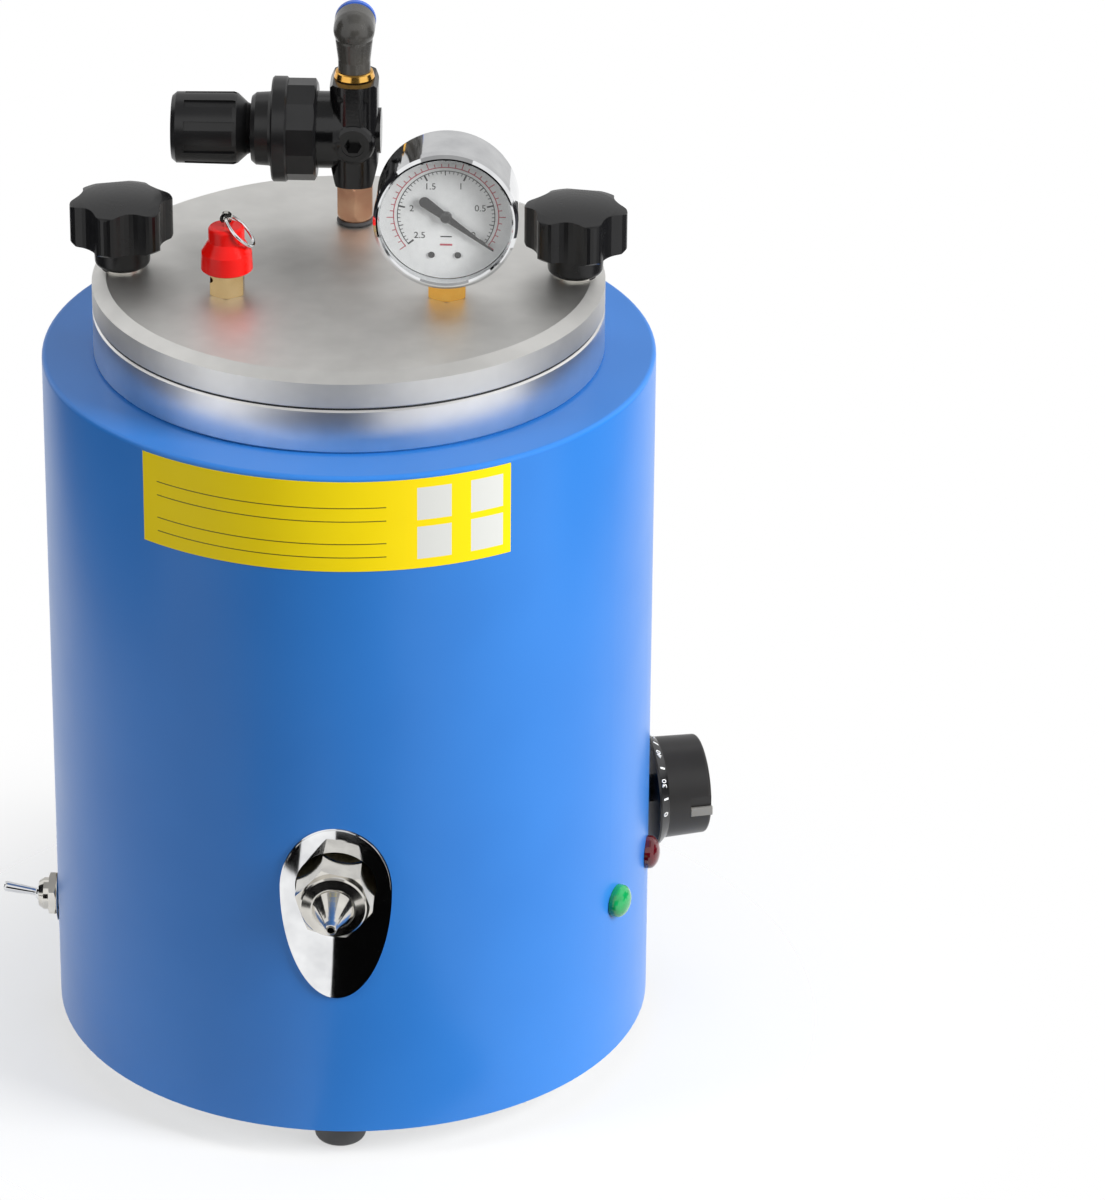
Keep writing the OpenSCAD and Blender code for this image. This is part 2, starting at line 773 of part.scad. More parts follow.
// Bat lever on its ball
module switch_lever() {
    ball_at = casing_r + 6.1;
    tip_r = lever_r * 1.05;
    color(CHROME) outward(switch_at, switch_z) translate([0, 0, ball_at])
        rotate([-lever_rest, 0, 0]) turned(concat([[0, -switch_ball_r]],
            arc(0, 0, switch_ball_r, -80, 65, 12), [[lever_r * 0.8, switch_ball_r + 1]],
            [[tip_r, lever_len + 0.5]],
            arc(tip_r - 1.2, lever_len + 0.5, 1.2, 10, 90, 5),
            [[0, lever_len + 1.7]]));
}

// ---- Mains inlet ----

module inlet_block(w, h, z0, z1) {
    translate([-w / 2, -h / 2, z0]) cube([w, h, z1 - z0]);
}

module inlet_screw_places() {
    for (side = [-1, 1]) translate([0, side * inlet_screw_pitch / 2, 0]) children();
}

// Appliance inlet: flange outside, block inside, and a socket 4 mm smaller all round
module mains_inlet() {
    flange_back = casing_r + 0.05;
    socket_wall = 2.4;
    color(BLACK) outward(inlet_at, inlet_z) difference() {
        union() {
            inlet_block(inlet_w, inlet_h, flange_back - inlet_depth, flange_back + 1);
            hull() for (x = [-1, 1], y = [-1, 1])
                translate([x * (inlet_flange_w / 2 - 3), y * (inlet_flange_h / 2 - 3), flange_back])
                    cylinder(r = 3, h = inlet_flange_t, $fn = hull_fn);
        }
        inlet_block(inlet_w - 2 * socket_wall, inlet_h - 2 * socket_wall,
            flange_back - inlet_depth + 6, casing_r + 10);
        inlet_screw_places() rod(inlet_screw_r + slack / 2, casing_r - 5, casing_r + 10);
        pin_blades(0.02);
    }
}

// Three flat blades, the earth one to one side; they are longer than the block's floor
module pin_blades(grow) {
    w = 4 + 2 * grow;
    t = 2 + 2 * grow;
    for (p = [[2, 0], [-2, 7], [-2, -7]])
        translate([p[0] - w / 2, p[1] - t / 2, casing_r - inlet_depth - 6]) cube([w, t, 26]);
}

// The blades inside the socket, with their tabs behind it
module inlet_pins() {
    color(BRASS) outward(inlet_at, inlet_z) pin_blades(0);
}

module inlet_screws() {
    z0 = casing_r - 6;
    head_z = casing_r + inlet_flange_t + 0.05;
    color(STEEL) outward(inlet_at, inlet_z) inlet_screw_places() {
        rod(inlet_screw_r, z0, head_z + 0.5);
        turned([[0, head_z], [3.3, head_z], [3.3, head_z + 0.8], [2, head_z + 2], [0, head_z + 2]]);
        hex(6, casing_in_r - 3.2, casing_in_r - 0.6, 0.4);
    }
}

// ---- Lid and its star knobs ----

// Thick lid with a bevelled edge, a spigot that centres it in the pot and five holes
module lid() {
    spigot_r = pot_bore_r - seat_gap;
    edge = 0.5;
    color(ALU) difference() {
        turned([[0, rim_z1 - spigot_h], [spigot_r - 1, rim_z1 - spigot_h],
            [spigot_r, rim_z1 - spigot_h + 1], [spigot_r, gasket_z1], [rim_r - edge, gasket_z1],
            [rim_r, gasket_z1 + edge], [rim_r, lid_z1 - lid_bevel_h],
            [rim_r - lid_bevel_w, lid_z1], [0, lid_z1]]);
        at_knobs() rod(stud_r + slack, gasket_z1 - 1, lid_z1 + 1);
        for (port = [gauge_at, valve_at, reg_at])
            on_port(port) rod(port_r, -lid_t - spigot_h - 5, 1);
    }
}

module clamp_washer(side) {
    color(CHROME) at_knob(side) turned([[stud_r + fit, lid_z1 + 0.02], [washer_r, lid_z1 + 0.02],
        [washer_r, hub_z0 - 0.5], [washer_r - 0.5, hub_z0 - 0.02], [stud_r + fit, hub_z0 - 0.02]]);
}

module washer_left() {
    clamp_washer(-1);
}

module washer_right() {
    clamp_washer(1);
}

// Screw moulded into the knob, with a chamfered point
module clamp_screw(side) {
    top = hub_z0 + insert_h;
    color(STEEL) at_knob(side) turned([[0, stud_z0], [stud_r - 1, stud_z0],
        [stud_r, stud_z0 + 1], [stud_r, hub_z0 + 2], [stud_r + 1.6, hub_z0 + 2],
        [stud_r + 1.6, top], [0, top]]);
}

module clamp_screw_left() {
    clamp_screw(-1);
}

module clamp_screw_right() {
    clamp_screw(1);
}

// Outline of the head: round lobes joined by hollows that run smoothly into them
module star_outline() {
    half = 180 / star_lobes;
    lobe_at = star_r - lobe_r;
    hollow_at = lobe_at * cos(half)
        + sqrt(pow(hollow_r + lobe_r, 2) - pow(lobe_at * sin(half), 2));
    meet = atan2(hollow_at * sin(half), hollow_at * cos(half) - lobe_at);
    step = (meet - half) * 2 / hollow_steps;
    polygon([for (i = [0:star_lobes - 1]) let(turn = 2 * half * i) each concat(
        arc(lobe_at * cos(turn), lobe_at * sin(turn), lobe_r, turn - meet, turn + meet, 8),
        arc(hollow_at * cos(turn + half), hollow_at * sin(turn + half), hollow_r,
            turn + meet + 180 - step, turn + 2 * half - meet + 180 + step,
            hollow_steps - 2))]);
}

// Moulded head with a domed top on a round hub, with a bore for the screw's insert
module star_knob(side, turn) {
    rim_z = head_z0 + star_h;
    edge_r = 1;
    dome_r = (star_r * star_r + star_dome * star_dome) / (2 * star_dome);
    dome_a = asin((star_r - edge_r) / dome_r);
    foot_round = 1.8;
    color(BLACK) at_knob(side) rotate([0, 0, turn]) difference() {
        union() {
            intersection() {
                translate([0, 0, head_z0]) linear_extrude(height = star_h + star_dome)
                    star_outline();
                turned(concat([[0, head_z0], [star_r - edge_r, head_z0],
                        [star_r, head_z0 + edge_r]],
                    arc(star_r - edge_r, rim_z - edge_r, edge_r, 0, 90 - dome_a, 4),
                    [for (i = [5:-1:0]) let(a = dome_a * i / 6)
                        [dome_r * sin(a), rim_z + star_dome - dome_r * (1 - cos(a))]]));
            }
            turned(concat([[0, hub_z0]],
                arc(star_hub_r - foot_round, hub_z0 + foot_round, foot_round, -90, 0),
                [[star_hub_r + 0.4, head_z0 + 1], [0, head_z0 + 1]]));
        }
        rod(stud_r + 0.02, hub_z0 - 1, hub_z0 + 2);
        rod(stud_r + 1.62, hub_z0 + 1.99, hub_z0 + insert_h + 0.02);
    }
}

module star_knob_left() {
    star_knob(-1, 15);
}

module star_knob_right() {
    star_knob(1, -9);
}

// ---- Safety valve ----

// Brass body: threaded shank, hexagon, seat and the thread that the cap screws onto
module valve_body() {
    color(BRASS) on_port(valve_at) difference() {
        union() {
            rod(port_r - 0.05, -port_depth, 0.5);
            hex(valve_af, 0.02, valve_hex_h, 0.5);
            rod(valve_thread_r, valve_hex_h - 0.5, valve_hex_h + 4.3);
        }
        rod(valve_inlet_r, -port_depth - 1, valve_seat_z + 1);
        rod(valve_chamber_r, valve_seat_z, valve_hex_h + 6);
        translate([0, 0, valve_hex_h - 2.8]) rotate([90, 0, -60])
            cylinder(r = 1.1, h = valve_af);
    }
}

// Red cap in two tiers, with a sloping shoulder and a hole for the spindle
module valve_cap() {
    top_round = 1.3;
    foot_z = valve_hex_h;
    tier_z = foot_z + 7.2;
    slope_z = tier_z + 3.6;
    top_z = foot_z + valve_cap_h;
    color(RED) on_port(valve_at) difference() {
        turned(concat([[0, foot_z + 0.02], [cap_r - 0.5, foot_z + 0.02], [cap_r, foot_z + 0.5],
                [cap_r - 0.25, tier_z - 0.5], [cap_r - 0.6, tier_z],
                [cap_top_r + 0.3, slope_z - 0.4], [cap_top_r, slope_z]],
            arc(cap_top_r - top_round, top_z - top_round, top_round, 0, 90),
            [[0, top_z]]));
        rod(valve_thread_r + 0.02, foot_z - 1, foot_z + 4.5);
        rod(valve_chamber_r + 0.4, foot_z + 4.4, top_z - valve_roof_t);
        rod(valve_rod_r + run, top_z - valve_roof_t - 1, top_z + 1);
    }
}

// Valve disc, rod and a flat eye for the ring
module valve_spindle() {
    eye_t = 2.2;
    color(BRASS) on_port(valve_at) difference() {
        union() {
            turned([[0, valve_seat_z + 0.02], [valve_chamber_r - run, valve_seat_z + 0.02],
                [valve_chamber_r - run, valve_seat_z + valve_disc_t],
                [valve_rod_r, valve_seat_z + valve_disc_t], [valve_rod_r, valve_eye_z],
                [0, valve_eye_z]]);
            translate([0, eye_t / 2, valve_eye_z]) rotate([90, 0, 0])
                cylinder(r = valve_eye_r, h = eye_t);
        }
        translate([0, 5, valve_eye_z]) rotate([90, 0, 0])
            cylinder(r = pull_wire_r + 0.3, h = 10);
    }
}

module valve_spring() {
    color(STEEL) on_port(valve_at)
        coil_spring(valve_rod_r + 0.5 + 0.4, 0.4, valve_seat_z + valve_disc_t + 0.05,
            valve_hex_h + valve_cap_h - valve_roof_t - 0.05, 7);
}

// Ring through the eye, leaning on the cap's shoulder
module pull_ring() {
    color(CHROME) on_port(valve_at) translate([0, 0, valve_eye_z]) rotate([0, pull_rest, 0])
        translate([pull_ring_r, 0, 0]) rotate_extrude()
            translate([pull_ring_r, 0]) circle(r = pull_wire_r, $fn = 24);
}

// ---- Pressure gauge ----

// Places a piece so that its +Z is the gauge's axis, which points to the front
module on_gauge() {
    on_port(gauge_at) translate([0, 0, gauge_up + gauge_r]) rotate([90, 0, 0]) children();
}

// Brass fitting under the gauge, with the socket that the curved tube is soldered into
module gauge_stem() {
    color(BRASS) on_port(gauge_at) difference() {
        union() {
            rod(port_r - 0.05, -port_depth, 0.5);
            hex(fitting_af, 0.02, gauge_up - 0.6, 0.5);
            rod(gauge_neck_r, gauge_up - 2, gauge_up + 8.4);
        }
        rod(1.5, -port_depth - 1, gauge_up + 6);
    }
}

// C-shaped tube from the socket round to the link, with the movement's block in the middle
module bourdon_tube() {
    tube_at = 15;
    block = 9;
    color(BRASS) on_gauge() difference() {
        union() {
            rotate([0, 0, -100]) rotate_extrude(angle = 285)
                translate([tube_at, -1]) scale_oval(1.2, 3.4);
            translate([-3.5, -gauge_r + 9.5, -4]) cube([7, 8, 7]);
            translate([-1.5, -gauge_r + 15, -2]) cube([3, 8, 3]);
            translate([-block / 2, -block / 2, -3]) cube([block, block, dial_plane + 3]);
            rotate([0, 0, 182]) translate([3, -1, -1]) cube([tube_at - 3, 2, 1.2]);
        }
        rod(needle_pin_r + run, -1, dial_plane + 1);
    }
}

// An oval outline, for the flattened tube
module scale_oval(a, b) {
    polygon([for (t = [0:20:340]) [a * cos(t), b * sin(t)]]);
}

// Chromed case with a rolled bezel; the window seats behind its lip
module gauge_case() {
    wall = 1;
    back = gauge_front - gauge_depth;
    lip = 2.2;
    round_r = 2;
    color(CHROME) difference() {
        on_gauge() turned(concat([[0, back]],
            arc(gauge_r - 0.4 - round_r, back + round_r, round_r, -90, 0),
            [[gauge_r - 0.4, gauge_front - 5], [gauge_r, gauge_front - 4.6],
                [gauge_r, gauge_front - 1.2], [gauge_r - 1, gauge_front - 0.1],
                [gauge_r - 1.6, gauge_front], [gauge_r - lip, gauge_front - 0.8],
                [gauge_r - lip, gauge_front - 1.8],
                [gauge_r - wall - 0.4, gauge_front - 1.8],
                [gauge_r - wall - 0.4, back + wall], [0, back + wall]]));
        on_port(gauge_at) rod(gauge_neck_r + 0.02, gauge_up - 3, gauge_up + 4);
    }
}

module gauge_dial() {
    color("white") on_gauge() tube(gauge_r - 1.6, needle_pin_r + 0.4, dial_plane,
        dial_plane + 0.5);
}

// Needle with its counterweight, on a pin that turns in the movement
module gauge_needle() {
    blade_z = dial_plane + 1.6;
    color(BLACK) on_gauge() rotate([0, 0, needle_rest]) {
        turned([[0, 0], [needle_pin_r, 0], [needle_pin_r, blade_z - 0.6], [2, blade_z - 0.6],
            [2, blade_z + 0.7], [1.3, blade_z + 1.3], [0, blade_z + 1.3]]);
        translate([0, 0, blade_z]) linear_extrude(height = 0.4) polygon(concat(
            [[0, -1.3], [needle_len, -0.2], [needle_len, 0.2], [0, 1.3]],
            arc(-needle_tail + 1.9, 0, 1.9, 90, 270, 8)));
    }
}

module gauge_window() {
    color([0.8, 0.9, 0.95, 0.35]) on_gauge()
        rod(gauge_r - 1.45, gauge_front - 3.3, gauge_front - 1.82);
}

// ---- Pressure regulator ----

// Places a piece so that its +Z is the axis of the bonnet and knob, which points along -X
module on_bonnet() {
    on_port(reg_at) translate([0, 0, bonnet_z]) rotate([0, -90, 0]) children();
}

// Double-ended hexagon nipple between the lid and the regulator
module regulator_nipple() {
    color(COPPER) on_port(reg_at) difference() {
        union() {
            rod(port_r - 0.05, -port_depth, nipple_h + 8);
            rod(nipple_af / 2 - 1, 0.02, 3);
            hex(nipple_af, 1.6, nipple_h - 0.02, 1.2, 2.4);
        }
        rod(3, -port_depth - 1, nipple_h + 9);
    }
}

// A rectangle with round corners
module round_rect(half_w, half_d, r) {
    square([2 * half_w, 2 * (half_d - r)], center = true);
    square([2 * (half_w - r), 2 * half_d], center = true);
    for (x = [-1, 1], y = [-1, 1]) translate([x * (half_w - r), y * (half_d - r)])
        circle(r = r);
}

// Die-cast block: tapered foot, shouldered top, round boss for the bonnet and a raised
// pad round the gauge port in front
module regulator_body() {
    z0 = nipple_h;
    z1 = nipple_h + reg_h;
    foot_w = 6.3;
    taper = 7.5;
    color(BLACK) on_port(reg_at) difference() {
        union() {
            intersection() {
                translate([0, 0, z0]) linear_extrude(height = reg_h)
                    round_rect(reg_half_w, reg_half_d, 7.4);
                translate([0, reg_half_d + 1, 0]) rotate([90, 0, 0])
                    linear_extrude(height = 2 * reg_half_d + 2) polygon([[-foot_w, z0],
                        [foot_w, z0], [foot_w + 0.4, z0 + 1], [reg_half_w, z0 + taper],
                        [reg_half_w, z1 - 2], [reg_half_w - 1.2, z1],
                        [1.2 - reg_half_w, z1], [-reg_half_w, z1 - 2],
                        [-reg_half_w, z0 + taper], [-foot_w - 0.4, z0 + 1]]);
            }
            translate([0, 0, bonnet_z]) rotate([0, -90, 0]) {
                turned([[0, 0], [boss_r - 4, 0], [boss_r - 1.2, 3], [boss_r, 7],
                    [boss_r, boss_end], [0, boss_end]]);
                rod(8, -reg_half_w - 0.9, 0);
            }
            translate([0, 0, port_z]) rotate([90, 0, 0]) turned([[0, 0],
                [port_pad_r, 0], [port_pad_r, reg_half_d - 0.8], [port_pad_r - 0.6, reg_half_d + 0.4],
                [port_pad_r - 1.8, reg_half_d + 1.2], [0, reg_half_d + 1.2]]);
        }
        rod(port_r, z0 - 1, z0 + 8.2);
        rod(port_r, z1 - 8.2, z1 + 1);
        rod(2.2, z0 + 4, z1 - 4);
        translate([0, 0, port_z]) rotate([90, 0, 0]) rod(plug_r, 2, reg_half_d + 4);
        on_bonnet_axis() rod(8.6, boss_end - 4, boss_end + 1);
        for (side = [-1, 1]) translate([side * 4.6, 0, z1 - 4.5]) rotate([90, 0, 0])
            rod(1.3, reg_half_d - 1.5, reg_half_d + 3);
    }
}

module on_bonnet_axis() {
    translate([0, 0, bonnet_z]) rotate([0, -90, 0]) children();
}

// Hollow housing of the spring: flange, neck and the wall that carries the spindle
module regulator_bonnet() {
    color(BLACK) on_bonnet() turned([[spring_room_r, sleeve_start], [boss_r - fit, sleeve_start],
        [boss_r - fit, ring_end], [flange_r - 0.6, ring_end], [flange_r, ring_end + 0.6],
        [flange_r, flange_end - 0.6], [flange_r - 0.6, flange_end],
        [neck_r + 0.6, flange_end], [neck_r, flange_end + 1.2], [neck_r - 0.3, bonnet_end - 1.6],
        [neck_r - 1.6, bonnet_end], [spindle_r + run, bonnet_end],
        [spindle_r + run, bonnet_end - 5], [spring_room_r, bonnet_end - 5]]);
}

// Twelve-sided ring nut that clamps the bonnet to the body
module bonnet_ring() {
    color(BLACK) on_bonnet() difference() {
        intersection() {
            rotate([0, 0, 21]) translate([0, 0, ring_start])
                cylinder(r = ring_r, h = ring_end - ring_start - 0.02, $fn = 12);
            turned([[0, ring_start], [ring_r - 1.4, ring_start], [ring_r, ring_start + 0.8],
                [ring_r, ring_end], [0, ring_end]]);
        }
        rod(boss_r + 0.02, ring_start - 1, ring_end + 1);
    }
}

// Rubber diaphragm with the button that the spring pushes on
module regulator_diaphragm() {
    color(RUBBER) on_bonnet() turned([[0, boss_end + 0.02], [boss_r - 0.6, boss_end + 0.02],
        [boss_r - 0.6, sleeve_start - 0.02], [7.5, sleeve_start - 0.02],
        [7.5, sleeve_start + 0.7], [0, sleeve_start + 0.7]]);
}

// Pressure spring between the diaphragm's button and the plate on the spindle
module pressure_spring() {
    color(STEEL) on_bonnet() coil_spring(6.2, 0.6, sleeve_start + 0.75, plate_z - 0.05, 4);
}

// Plate that the spindle's thread drives along, with flats against turning
module spring_plate() {
    color(BRASS) on_bonnet() difference() {
        turned([[spindle_r + run, plate_z], [spring_room_r - 0.6, plate_z],
            [spring_room_r - 0.6, plate_z + 2], [5.5, plate_z + 2.6],
            [spindle_r + run, plate_z + 2.6]]);
        for (side = [-1, 1]) translate([side * (spring_room_r + 1.5), 0, plate_z + 1])
            cube([5, 2 * spring_room_r, 6], center = true);
    }
}

// Threaded spindle with the collar that holds it against the bonnet's end wall
module regulator_spindle() {
    collar_z = bonnet_end - 5 - run;
    color(STEEL) on_bonnet() turned([[0, sleeve_start + 2.2], [spindle_r - 0.6, sleeve_start + 2.2],
        [spindle_r, sleeve_start + 2.8], [spindle_r, collar_z - 1.2], [5, collar_z - 1.2],
        [5, collar_z], [spindle_r, collar_z], [spindle_r, knob_end - 8.6],
        [spindle_r - 0.6, knob_end - 8], [0, knob_end - 8]]);
}

// Moulded knob: tapered inner end, long flutes, plain band and dished face at the outer end
module regulator_knob() {
    color(BLACK) on_bonnet() difference() {
        turned([[0, knob_start], [reg_knob_r - 4.2, knob_start],
            [reg_knob_r - 3.6, knob_start + 1.2], [reg_knob_r - 0.5, knob_start + 4.6],
            [reg_knob_r, knob_start + 6], [reg_knob_r - 0.25, knob_end - 1.6],
            [reg_knob_r - 1.6, knob_end], [reg_knob_r - 3.6, knob_end - 0.2],
            [reg_knob_r - 4.4, knob_end - 1], [0, knob_end - 1]]);
        rod(spindle_r + run, knob_start - 1, knob_end - 6);
        for (i = [0:knob_flutes - 1]) rotate([0, 0, (i + 0.35) * 360 / knob_flutes])
            translate([reg_knob_r - 0.9, -1.6, knob_start + 5])
                cube([4, 3.2, reg_knob_h - 9.6]);
    }
}

// Socket-head plug in the gauge port
module port_plug() {
    face = reg_half_d + 0.9;
    color(STEEL) on_port(reg_at) translate([0, 0, port_z]) rotate([90, 0, 0]) difference() {
        rod(plug_r - 0.02, 4, face);
        translate([0, 0, face - 5]) cylinder(r = 3.1, h = 6, $fn = 6);
    }
}

// ---- Air elbow ----

// Brass stem with its collar, screwed into the regulator
module elbow_stem() {
    z1 = nipple_h + reg_h;
    color(BRASS) on_port(reg_at) difference() {
        turned([[0, z1 - 8], [port_r - 0.05, z1 - 8], [port_r - 0.05, z1 + 0.02],
            [stem_collar_r - 0.2, z1 + 0.02], [stem_collar_r, z1 + 0.4],
            [stem_collar_r - 0.5, z1 + stem_collar_h - 0.3],
            [stem_collar_r - 1, z1 + stem_collar_h],
            [stem_spigot_r, z1 + stem_collar_h], [stem_spigot_r, z1 + stem_collar_h + 6],
            [0, z1 + stem_collar_h + 6]]);
        rod(2.2, z1 - 9, z1 + stem_collar_h + 7);
    }
}

// Moulded elbow: upright leg on the stem, round back, and a socket for the hose
module elbow_body() {
    leg_z0 = nipple_h + reg_h + stem_collar_h + run;
    color("#3b3c3d") on_port(reg_at) difference() {
        union() {
            turned([[0, leg_z0], [elbow_leg_r, leg_z0], [elbow_leg_r, elbow_z - 11],
                [elbow_head_r - 0.7, elbow_z - 4], [elbow_head_r - 0.7, elbow_z], [0, elbow_z]]);
            translate([0, 0, elbow_z]) sphere(r = elbow_head_r);
            translate([0, 0, elbow_z]) rotate([-90, 0, 0]) rod(elbow_head_r, 0, elbow_face);
        }
        rod(stem_spigot_r + run, leg_z0 - 1, leg_z0 + 6.4);
        rod(2, leg_z0 + 6, elbow_z);
        translate([0, 0, elbow_z]) rotate([-90, 0, 0]) {
            rod(2, 0, elbow_face);
            rod(hose_r + hose_fit, hose_stop, elbow_face + 1);
            rod(collet_r + run, elbow_face - collet_in - collar_travel, elbow_face + 1);
        }
    }
}

// Ring that lets the hose go when it is pressed in
module release_collar() {
    back = elbow_face + collar_travel + 0.1;
    inner = elbow_face - collet_in + 0.1;
    collar_t = 2.6;
    color("#5f7bc0") on_port(reg_at) translate([0, 0, elbow_z]) rotate([-90, 0, 0])
        turned([[hose_r + hose_fit, inner], [collet_r, inner],
            [collet_r, back], [elbow_head_r, back],
            [elbow_head_r, back + collar_t - 0.7], [elbow_head_r - 0.6, back + collar_t],
            [hose_r + hose_fit + 0.4, back + collar_t],
            [hose_r + hose_fit, back + collar_t - 0.4]]);
}

casing();
base_plate();
feet();
foot_screws();
wax_pot();
gasket();
band_heater();
heater_screw();
insulation_jacket();
nozzle_plate();
nozzle_body();
nozzle_nut();
nozzle_tip();
nozzle_spring();
thermostat_body();
thermostat_bulb();
thermostat_shaft();
thermostat_knob();
thermostat_skirt();
green_lamp();
red_lamp();
lamp_bodies();
switch_body();
switch_nut();
switch_washer();
switch_lever();
mains_inlet();
inlet_pins();
inlet_screws();
lid();
washer_left();
washer_right();
clamp_screw_left();
clamp_screw_right();
star_knob_left();
star_knob_right();
valve_body();
valve_cap();
valve_spindle();
valve_spring();
pull_ring();
gauge_stem();
bourdon_tube();
gauge_case();
gauge_dial();
gauge_needle();
gauge_window();
regulator_nipple();
regulator_body();
regulator_bonnet();
bonnet_ring();
regulator_diaphragm();
pressure_spring();
spring_plate();
regulator_spindle();
regulator_knob();
port_plug();
elbow_stem();
elbow_body();
release_collar();
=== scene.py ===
"""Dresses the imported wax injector: finishes, printed marks, label, camera and light."""
import json
import math

import bpy
from mathutils import Matrix, Vector


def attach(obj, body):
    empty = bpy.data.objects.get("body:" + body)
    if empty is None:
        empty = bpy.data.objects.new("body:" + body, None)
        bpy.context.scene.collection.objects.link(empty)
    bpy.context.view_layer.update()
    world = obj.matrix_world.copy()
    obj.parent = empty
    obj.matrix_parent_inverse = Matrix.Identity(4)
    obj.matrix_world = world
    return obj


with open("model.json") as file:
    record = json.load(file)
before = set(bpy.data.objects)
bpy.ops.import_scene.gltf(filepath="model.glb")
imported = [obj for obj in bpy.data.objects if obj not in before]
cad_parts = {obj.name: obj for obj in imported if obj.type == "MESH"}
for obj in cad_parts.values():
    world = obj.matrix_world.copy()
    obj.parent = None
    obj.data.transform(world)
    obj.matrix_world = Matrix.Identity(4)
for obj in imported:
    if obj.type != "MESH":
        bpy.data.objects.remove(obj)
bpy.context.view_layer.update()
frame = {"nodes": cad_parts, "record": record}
nodes = frame["nodes"]

MM = 0.001
WHITE = (1.0, 1.0, 1.0, 1.0)

# Places of the object's main parts, as in its CAD source, in millimetres and degrees
CASING_R = 107.0
LID_TOP_Z = 295.3
DIAL_ANGLE = 105.0
DIAL_Z = 78.0
# Ports of the lid: distance from its centre, and angle from the front towards +X
GAUGE_PORT = (39.5, 62.0)
VALVE_PORT = (45.4, -63.8)
REGULATOR_PORT = (43.0, 180.0)


# ---- Small tools ----

def port_place(port):
    """Centre of a port at the lid's top, in millimetres."""
    distance, angle = port
    a = math.radians(angle)
    return Vector((distance * math.sin(a), -distance * math.cos(a), LID_TOP_Z))


def outward(angle, z, lift=0.0):
    """A matrix that stands a piece on the casing, at an angle from the front towards +X.

    Seen from outside, the piece's X points to the right, its Y up and its Z outwards."""
    a = math.radians(angle)
    out = Vector((math.sin(a), -math.cos(a), 0.0))
    right = Vector((math.cos(a), math.sin(a), 0.0))
    up = Vector((0.0, 0.0, 1.0))
    place = out * lift * MM + up * z * MM
    matrix = Matrix((right, up, out)).transposed().to_4x4()
    matrix.translation = place
    return matrix


def clear_selection():
    """Leaves edit mode and selects nothing."""
    if bpy.context.mode != "OBJECT":
        bpy.ops.object.mode_set(mode="OBJECT")
    bpy.ops.object.select_all(action="DESELECT")


def select_faces(obj, wanted):
    """Opens a piece in edit mode with only those faces selected whose centre passes a test."""
    clear_selection()
    bpy.context.view_layer.objects.active = obj
    obj.select_set(True)
    bpy.ops.object.mode_set(mode="EDIT")
    bpy.ops.mesh.select_mode(type="FACE")
    bpy.ops.mesh.select_all(action="DESELECT")
    bpy.ops.object.mode_set(mode="OBJECT")
    for polygon in obj.data.polygons:
        polygon.select = wanted(polygon.center)
    bpy.ops.object.mode_set(mode="EDIT")


def settle(obj, name, matrix=None):
    """Names a new piece and puts its place, turn and size into its mesh."""
    obj.name = name
    obj.data.name = name
    obj.data.transform((matrix or Matrix.Identity(4)) @ obj.matrix_basis)
    obj.matrix_basis = Matrix.Identity(4)
    return obj


def apply_modifier(obj, kind, **settings):
    """Adds a modifier with its settings and applies it to the mesh."""
    clear_selection()
    bpy.context.view_layer.objects.active = obj
    obj.select_set(True)
    modifier = obj.modifiers.new(kind.lower(), kind)
    for key, value in settings.items():
        setattr(modifier, key, value)
    bpy.ops.object.modifier_apply(modifier=modifier.name)


def join(objs, name):
    """Joins pieces whose places are in their meshes already."""
    clear_selection()
    for obj in objs:
        obj.select_set(True)
    bpy.context.view_layer.objects.active = objs[0]
    if len(objs) > 1:
        bpy.ops.object.join()
    objs[0].name = name
    objs[0].data.name = name
    return objs[0]


def dress(obj, material, body):
    """Gives a piece its material and the CAD body that it moves with."""
    obj.data.materials.clear()
    obj.data.materials.append(material)
    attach(obj, body)
    return obj


# ---- Camera ----

# The camera was fitted to the rims and feet of the object in the photograph
CAMERA_PLACE = Vector((0.1137, -2.0092, 1.1839))
CAMERA_AIM = math.radians(1.2)
CAMERA_DOWN = math.radians(26.8)
CAMERA_ROLL = math.radians(0.51)
PHOTO_H = 1200.0
FOCAL_PX = 6336.2
SENSOR_MM = 36.0


def add_camera():
    """The camera of the photograph, from its place, its two angles and its roll."""
    back = Vector((math.sin(CAMERA_AIM) * math.cos(CAMERA_DOWN),
                   -math.cos(CAMERA_AIM) * math.cos(CAMERA_DOWN), math.sin(CAMERA_DOWN)))
    level = Vector((math.cos(CAMERA_AIM), math.sin(CAMERA_AIM), 0.0))
    level_up = back.cross(level)
    right = level * math.cos(CAMERA_ROLL) + level_up * math.sin(CAMERA_ROLL)
    up = back.cross(right)
    data = bpy.data.cameras.new("camera")
    data.sensor_width = SENSOR_MM
    data.lens = FOCAL_PX / PHOTO_H * SENSOR_MM
    data.clip_start = 0.05
    data.clip_end = 50.0
    camera = bpy.data.objects.new("camera", data)
    turn = Matrix((right, up, back)).transposed().to_4x4()
    camera.matrix_world = Matrix.Translation(CAMERA_PLACE) @ turn
    bpy.context.scene.collection.objects.link(camera)
    bpy.context.scene.camera = camera


# ---- Materials ----

def linear(code):
    """An sRGB hex colour as linear RGBA."""
    parts = [int(code[i:i + 2], 16) / 255.0 for i in (1, 3, 5)]
    return [p / 12.92 if p <= 0.04045 else ((p + 0.055) / 1.055) ** 2.4 for p in parts] + [1.0]


def add(tree, kind, links=None, values=None, **settings):
    """Adds a node with its settings, its socket values and its links from other nodes' sockets."""
    node = tree.nodes.new(kind)
    for key, value in settings.items():
        setattr(node, key, value)
    for key, value in (values or {}).items():
        node.inputs[key].default_value = value
    for key, source in (links or {}).items():
        tree.links.new(source, node.inputs[key])
    return node


